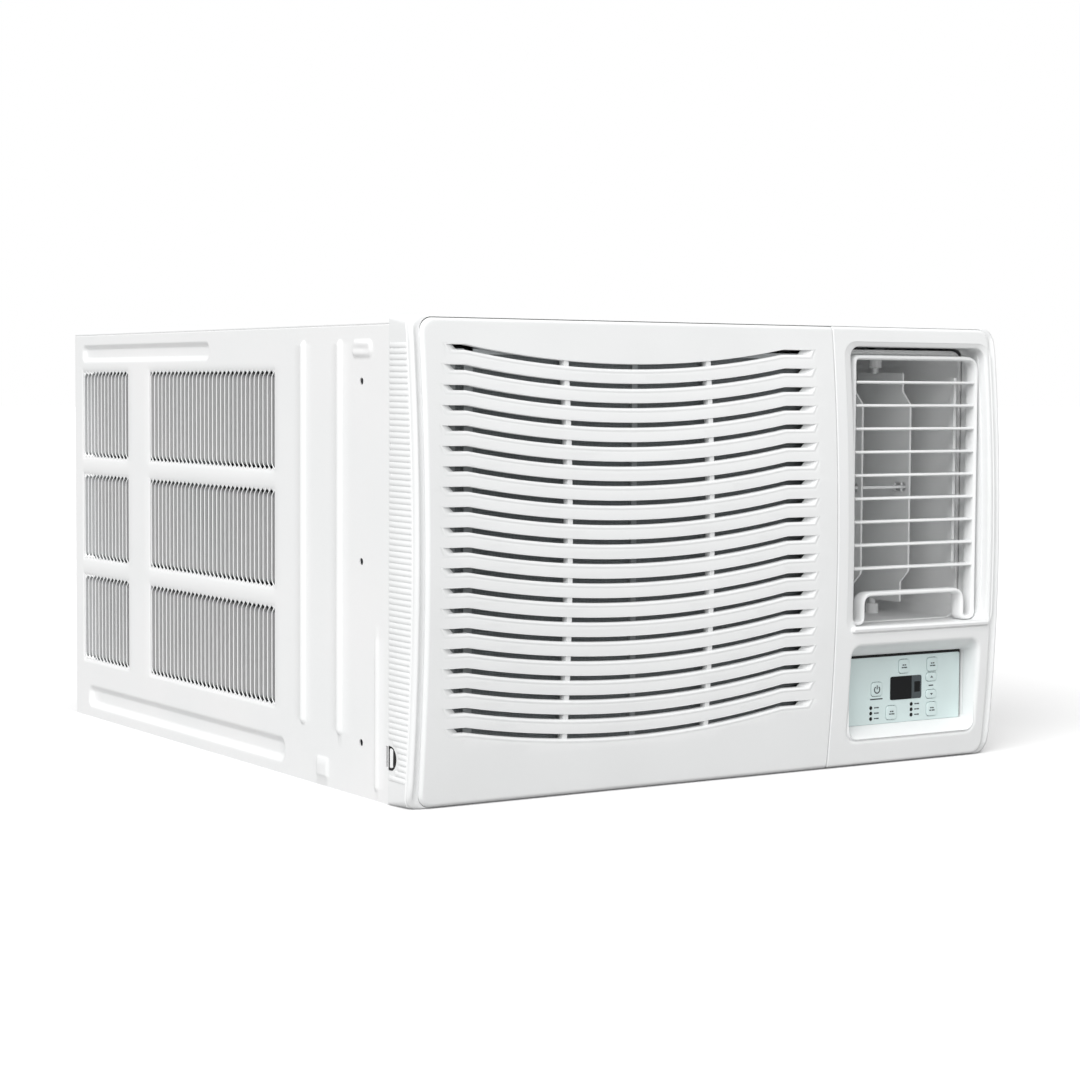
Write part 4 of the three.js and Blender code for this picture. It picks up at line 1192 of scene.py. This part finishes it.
def return_bends(x, places, radius):
    """U-shaped tubes that join the level tubes at the coil's end."""
    turns = [-math.pi / 2 + math.pi * k / 8 for k in range(9)]
    arc = [(2 + radius * math.cos(t), radius * math.sin(t)) for t in turns]
    solid = Solid()
    for y, z in places:
        path = [(x + out, y, z + rise) for out, rise in ((0, -radius), *arc, (0, radius))]
        solid.sweep(path, oval(7.2, 7.2, 10), (0, 1, 0))
    return solid


# Each coil: its name, its rows of tubes, and its fins' reach in y and in z.
COILS = (("condenser", 10, 668.0, 706.0, 12.0, 408.0), ("evaporator", 8, 24.0, 64.0, 70.0, 402.0))


# ---------------------------------------------------------------- operators
class ACBuild(bpy.types.Operator):
    """Shared settings of every step that adds pieces of the air conditioner"""

    bl_options = {"REGISTER", "UNDO"}

    def execute(self, context):
        self.build(context.scene)
        return {"FINISHED"}


CAMERA_TURN = (32.701, 3.519, 0.332)  # to the right, down and round its own axis, in degrees
CAMERA_FROM_SEAM = Vector((-1.3866, -1.8781, 0.367))  # in metres


class AC_OT_stage(ACBuild):
    """Add the camera, the light and the floor"""

    bl_idname = "ac.stage"
    bl_label = "Camera, light and floor"

    def build(self, scene):
        settings = scene.ac_stage
        yaw, pitch, roll = (math.radians(a) for a in CAMERA_TURN)
        ahead = Vector((math.sin(yaw) * math.cos(pitch), math.cos(yaw) * math.cos(pitch), -math.sin(pitch)))
        right = Vector((math.cos(yaw), -math.sin(yaw), 0))
        up = right.cross(ahead)
        right, up = right * math.cos(roll) + up * math.sin(roll), up * math.cos(roll) - right * math.sin(roll)
        camera = bpy.data.objects.new("camera", bpy.data.cameras.new("camera"))
        camera.data.lens = settings.lens
        camera.data.sensor_width = 36.0
        axes = Matrix((right, up, -ahead)).transposed().to_4x4()
        camera.matrix_world = Matrix.Translation(CAMERA_FROM_SEAM + Vector((0, SEAM_Y, 0))) @ axes
        scene.collection.objects.link(camera)
        scene.camera = camera

        world = bpy.data.worlds.new("surround")
        world.use_nodes = True
        backdrop = world.node_tree.nodes["Background"]
        backdrop.inputs["Color"].default_value = (1.0, 1.0, 1.0, 1.0)
        seen = node(world.node_tree, "ShaderNodeLightPath")
        level = node(world.node_tree, "ShaderNodeMapRange", {"To Min": settings.surround, "To Max": 1.0},
                     Value=seen.outputs["Is Camera Ray"])
        world.node_tree.links.new(level.outputs["Result"], backdrop.inputs["Strength"])
        scene.world = world
        scene.view_settings.view_transform = "Standard"

        lamps = (
            ("key", (-0.68, -0.44, 0.59), settings.key),
            ("top", (0.1, 0.1, 1.0), settings.key * 0.3),
            ("fill", (0.12, -1.0, 0.14), settings.key * 0.2),
        )
        for name, towards, power in lamps:
            lamp = bpy.data.objects.new(f"{name}_light", bpy.data.lights.new(f"{name}_light", "SUN"))
            lamp.data.energy = power
            lamp.data.angle = math.radians(settings.softness)
            lamp.location = Vector(towards) * 3
            lamp.rotation_euler = (-Vector(towards)).to_track_quat("-Z", "Y").to_euler()
            scene.collection.objects.link(lamp)

        bm = bmesh.new()
        bmesh.ops.create_grid(bm, x_segments=2, y_segments=2, size=40.0)
        mesh = bpy.data.meshes.new("floor")
        bm.to_mesh(mesh)
        bm.free()
        mesh.materials.append(look("floor"))
        floor = bpy.data.objects.new("floor", mesh)
        scene.collection.objects.link(floor)


class AC_OT_front(ACBuild):
    """Add the border, the outlet surround and the cord's cap"""

    bl_idname = "ac.front"
    bl_label = "Front frame"

    def build(self, scene):
        white = look("white_abs")
        border = make("front_border", front_border(), white, stands_for=("front_frame",))
        cutter = make("cord_cutter", half_round(CORD_R, -FRONT_HALF - 3, -FRONT_HALF + 12), white)
        cut_with(border, cutter)
        make("outlet_surround", outlet_surround(), white, slices=10)
        make("outlet_ledge", outlet_ledge(), white)
        for side, name in ((-1, "left"), (1, "right")):
            make(f"skirt_ribs_{name}", skirt_ribs(side), white)
        make("cord_cap", cord_cap(), white, stands_for=("cord_grommet",))
        # Painted shade: a block of black rubber fills the cord's way out behind the cap, so that the ring round the cap
        # shows dark in place of the shadow in that hole.
        shade = half_round(CORD_R - 0.1, -FRONT_HALF + 2.4, -FRONT_HALF + 12.4, y_end=-0.3)
        make("cord_painted_shade", shade, look("rubber"))
        seal = Solid()
        for side in (-1, 1):
            x0, x1 = sorted((side * (CASE_HALF - 0.9), side * (CASE_HALF - 3.9)))
            seal.block(x0, x1, -0.2, SEAM_GAP + 1.6, 2, CASE_H - 1.6)
        make("seam_seal", seal, look("rubber"))


class AC_OT_grille(ACBuild):
    """Add the hinged intake panel and the filter behind it"""

    bl_idname = "ac.grille"
    bl_label = "Intake grille"

    def build(self, scene):
        white = look("white_abs")
        make("intake_panel", intake_panel(), white, "grille", ("intake_grille",), slices=10)
        make("intake_panel_ribs", panel_ribs(), white, "grille", slices=10)
        make("filter_net_frame", filter_frame(), look("grey_abs"), "grille", ("air_filter",))
        low, high = span("air_filter")
        net = Solid().block(low.x + 3, high.x - 3, high.y - 1.2, high.y - 0.6, low.z + 3, high.z - 3)
        make("filter_net", net, look("net"), "grille")


class AC_OT_outlet(ACBuild):
    """Add the louvre frame, its blades, the upright vanes and the duct"""

    bl_idname = "ac.outlet"
    bl_label = "Air outlet"

    def build(self, scene):
        white = look("white_abs")
        make("louvre_bead", louvre_frame(), white, stands_for=("louvre_frame",))
        for i in range(1, 10):
            node_name = f"horizontal_blade_{i}"
            make(f"blade_wing_{i}", blade(i), white, f"blade_{i}", (node_name,))
        for side in ("left", "right"):
            node_name = f"vertical_vane_{side}"
            make(f"upright_vane_{side}", vane(node_name), white, f"vane_{side}", (node_name,))
        low, high = span("vane_link")
        bar = Solid().block(low.x + 4, high.x - 4, low.y + 1.5, high.y - 1.0, low.z + 0.2, high.z - 0.2)
        make("vane_tie_bar", bar, white, "vane_link", ("vane_link",), bevel=0.6)
        dress("white_abs", "blade_link")
        make("duct_lining", duct_lining(), look("foam"), stands_for=("discharge_duct",))
        dress("galvanised", "swing_motor")


class AC_OT_controls(ACBuild):
    """Add the control panel, its keys, display and lights"""

    bl_idname = "ac.controls"
    bl_label = "Controls"

    def build(self, scene):
        film, ink = look("film"), look("ink")
        width = scene.ac_control.mark
        low, high = FASCIA_LOW, FASCIA_HIGH
        # Painted shade: a black rubber sheet behind the fascia shows through the gap at its top and right in place of
        # the shadow in that gap.
        seat = Solid().block(low.x - 0.2, high.x + 0.8, high.y + 0.4, high.y + 0.8, low.z - 0.2, high.z + 0.8)
        make("control_gap_shade", seat, look("rubber"))
        make("control_film", fascia_plate(), film, stands_for=("control_fascia",))
        for name in KEYS:
            body = name.replace("_button", "_key")
            make(f"{name}_cap", key_cap(name), film, body, (name,))
            low, high = span(name)
            x, z, y = (low.x + high.x) / 2, (low.z + high.z) / 2, low.y
            marks = Solid()
            if name == "power_button":
                power_mark(marks, x, z - 0.4, y, width)
            elif "temperature" in name:
                arrow_mark(marks, x, z, y, "up" in name)
            else:
                for x0, x1, level in ((-2.4, -0.4, 1.3), (0.2, 2.2, 1.3), (-3.4, -1.0, -1.2), (-0.4, 3.4, -1.2)):
                    print_line(marks, x + x0, z + level, x + x1, z + level, y, width)
            make(f"{name}_mark", marks, ink, body)

        labels = Solid()
        for x, z in light_places():
            print_line(labels, x + 4.2, z, x + 6.4, z, FASCIA_LOW.y, width)
            print_line(labels, x + 6.9, z, x + 10.2, z, FASCIA_LOW.y, width)
        low, high = span("power_button")
        print_line(labels, low.x - 0.5, low.z - 2.4, high.x + 0.5, low.z - 2.4, FASCIA_LOW.y, width)
        up_low, down_high = span("temperature_up_button")[0], span("temperature_down_button")[1]
        middle = (up_low.z + down_high.z) / 2
        print_line(labels, up_low.x + 4.5, middle, down_high.x - 4.5, middle, FASCIA_LOW.y, width)
        make("control_labels", labels, ink)

        x0, x1, z0, z1 = display_edges()
        y = span("display_window")[0].y
        split = x0 + (x1 - x0) * 0.68
        dark = Solid().prism(rounded(x0, split - 0.1, z0, z1, (2, 0.2, 0.2, 2), steps=4), y - 0.25, y + 3)
        make("display_glass", dark, look("acrylic"), stands_for=("display_window",))
        pale = Solid().prism(rounded(split + 0.1, x1, z0, z1, (0.2, 2, 2, 0.2), steps=4), y - 0.25, y + 3)
        make("receiver_window", pale, look("receiver"))
        eye = Solid().prism(rounded(split + 3.6, x1 - 2.0, z0 + 6.5, z1 - 6.0, 0.5, steps=2), y - 0.4, y)
        make("receiver_eye", eye, look("acrylic"))

        lights = Solid()
        for x, z in light_places():
            lens = ((3.0, 1.8), (-0.1, 1.8), (-0.45, 1.4), (-0.6, 0.8))
            lights.skin([at(FASCIA_LOW.y + rise, circle(x, z, radius)) for rise, radius in lens], ends=True)
        names = ("indicator_lights_left", "indicator_lights_right")
        make("indicator_lenses", lights, look("acrylic"), stands_for=names)
        dress("board", "control_board")
        dress("galvanised", "control_box")
        dress("grey_abs", "run_capacitor")


class AC_OT_case(ACBuild):
    """Add the side panels with their vents, the lid and the base pan"""

    bl_idname = "ac.case"
    bl_label = "Steel case"

    def build(self, scene):
        paint = look("white_paint")
        for side, name in ((-1, "left"), (1, "right")):
            node_name = f"{name}_side_panel"
            skin = make(f"{name}_panel_skin", side_panel(side), paint, stands_for=(node_name,))
            drill, clips = Solid(), Solid()
            for z in SCREW_HEIGHTS:
                for solid, radius, inner, outer in ((drill, 3.3, -6, 6), (clips, 4.6, -5.5, -2.2)):
                    ring = circle(SCREW_Y, z, radius, 24)
                    faces = [[(side * (CASE_HALF + x), py, pz, 1.0) for py, pz in ring] for x in (inner, outer)]
                    solid.skin(faces, ends=True)
            cut_with(skin, make(f"{name}_drill", drill, paint))
            make(f"{name}_clip_nuts", clips, look("dark_abs"), bevel=0.3)
            make(f"{name}_vent_slats", vent_slats(side), paint, sharp=50)
        make("lid", top_cover(), paint, stands_for=("top_cover",))
        dress("galvanised", "base_pan", "bulkhead")


class AC_OT_machine(ACBuild):
    """Add the coils, and finish the fans, motor, compressor and pipes"""

    bl_idname = "ac.machine"
    bl_label = "Coils and machine"

    def build(self, scene):
        for name, rows, y0, y1, z0, z1 in COILS:
            low, high = span(f"{name}_coil")
            x0, x1 = low.x + 2, high.x - 2
            places = tube_places(y0, y1, z0, z1, rows)
            fins = fin_block(x0 + 1, x1 - 1, y0, y1, z0, z1)
            make(f"{name}_fins", fins, look("fins"), stands_for=(f"{name}_coil",))
            make(f"{name}_tubes", tube_rows(x0, x1, places), look("copper"))
            plates = Solid()
            for x in (x0 - 2, x1):
                plates.block(x, x + 2, low.y, high.y, low.z, high.z)
            make(f"{name}_end_plates", plates, look("galvanised"), bevel=0.4)
            bends = return_bends(x1 + 2, places, (z1 - z0) / rows * 0.3)
            make(f"{name}_return_bends", bends, look("copper"), stands_for=(f"{name}_bends",))
        dress("grey_abs", "drain_tray", "blower_wheel")
        dress("foam", "blower_housing")
        dress("dark_abs", "condenser_fan")
        dress("galvanised", "motor_shaft", "motor_bracket", "fan_shroud")
        dress("enamel", "fan_motor", "compressor", "accumulator")
        dress("copper", "discharge_pipe", "suction_pipe", "liquid_pipe")
        dress("rubber", "compressor_mount_1", "compressor_mount_2", "compressor_mount_3")


STEPS = (AC_OT_stage, AC_OT_front, AC_OT_grille, AC_OT_outlet, AC_OT_controls, AC_OT_case, AC_OT_machine)


class AC_PT_panel(bpy.types.Panel):
    """Steps and settings of the air conditioner"""

    bl_idname = "AC_PT_panel"
    bl_label = "Air Conditioner"
    bl_space_type = "VIEW_3D"
    bl_region_type = "UI"
    bl_category = "Air Conditioner"

    def draw(self, context):
        for step in STEPS:
            self.layout.operator(step.bl_idname)
        for name in GROUPS:
            box = self.layout.box()
            settings = getattr(context.scene, name)
            for key in settings.__annotations__:
                box.prop(settings, key)


def register():
    for name, group in GROUPS.items():
        bpy.utils.register_class(group)
        setattr(bpy.types.Scene, name, PointerProperty(type=group))
    for item in (*STEPS, AC_PT_panel):
        bpy.utils.register_class(item)


def unregister():
    for item in reversed((*STEPS, AC_PT_panel)):
        bpy.utils.unregister_class(item)
    for name, group in GROUPS.items():
        delattr(bpy.types.Scene, name)
        bpy.utils.unregister_class(group)


def main():
    register()
    for step in STEPS:
        group, name = step.bl_idname.split(".")
        getattr(getattr(bpy.ops, group), name)()


if __name__ == "__main__":
    main()
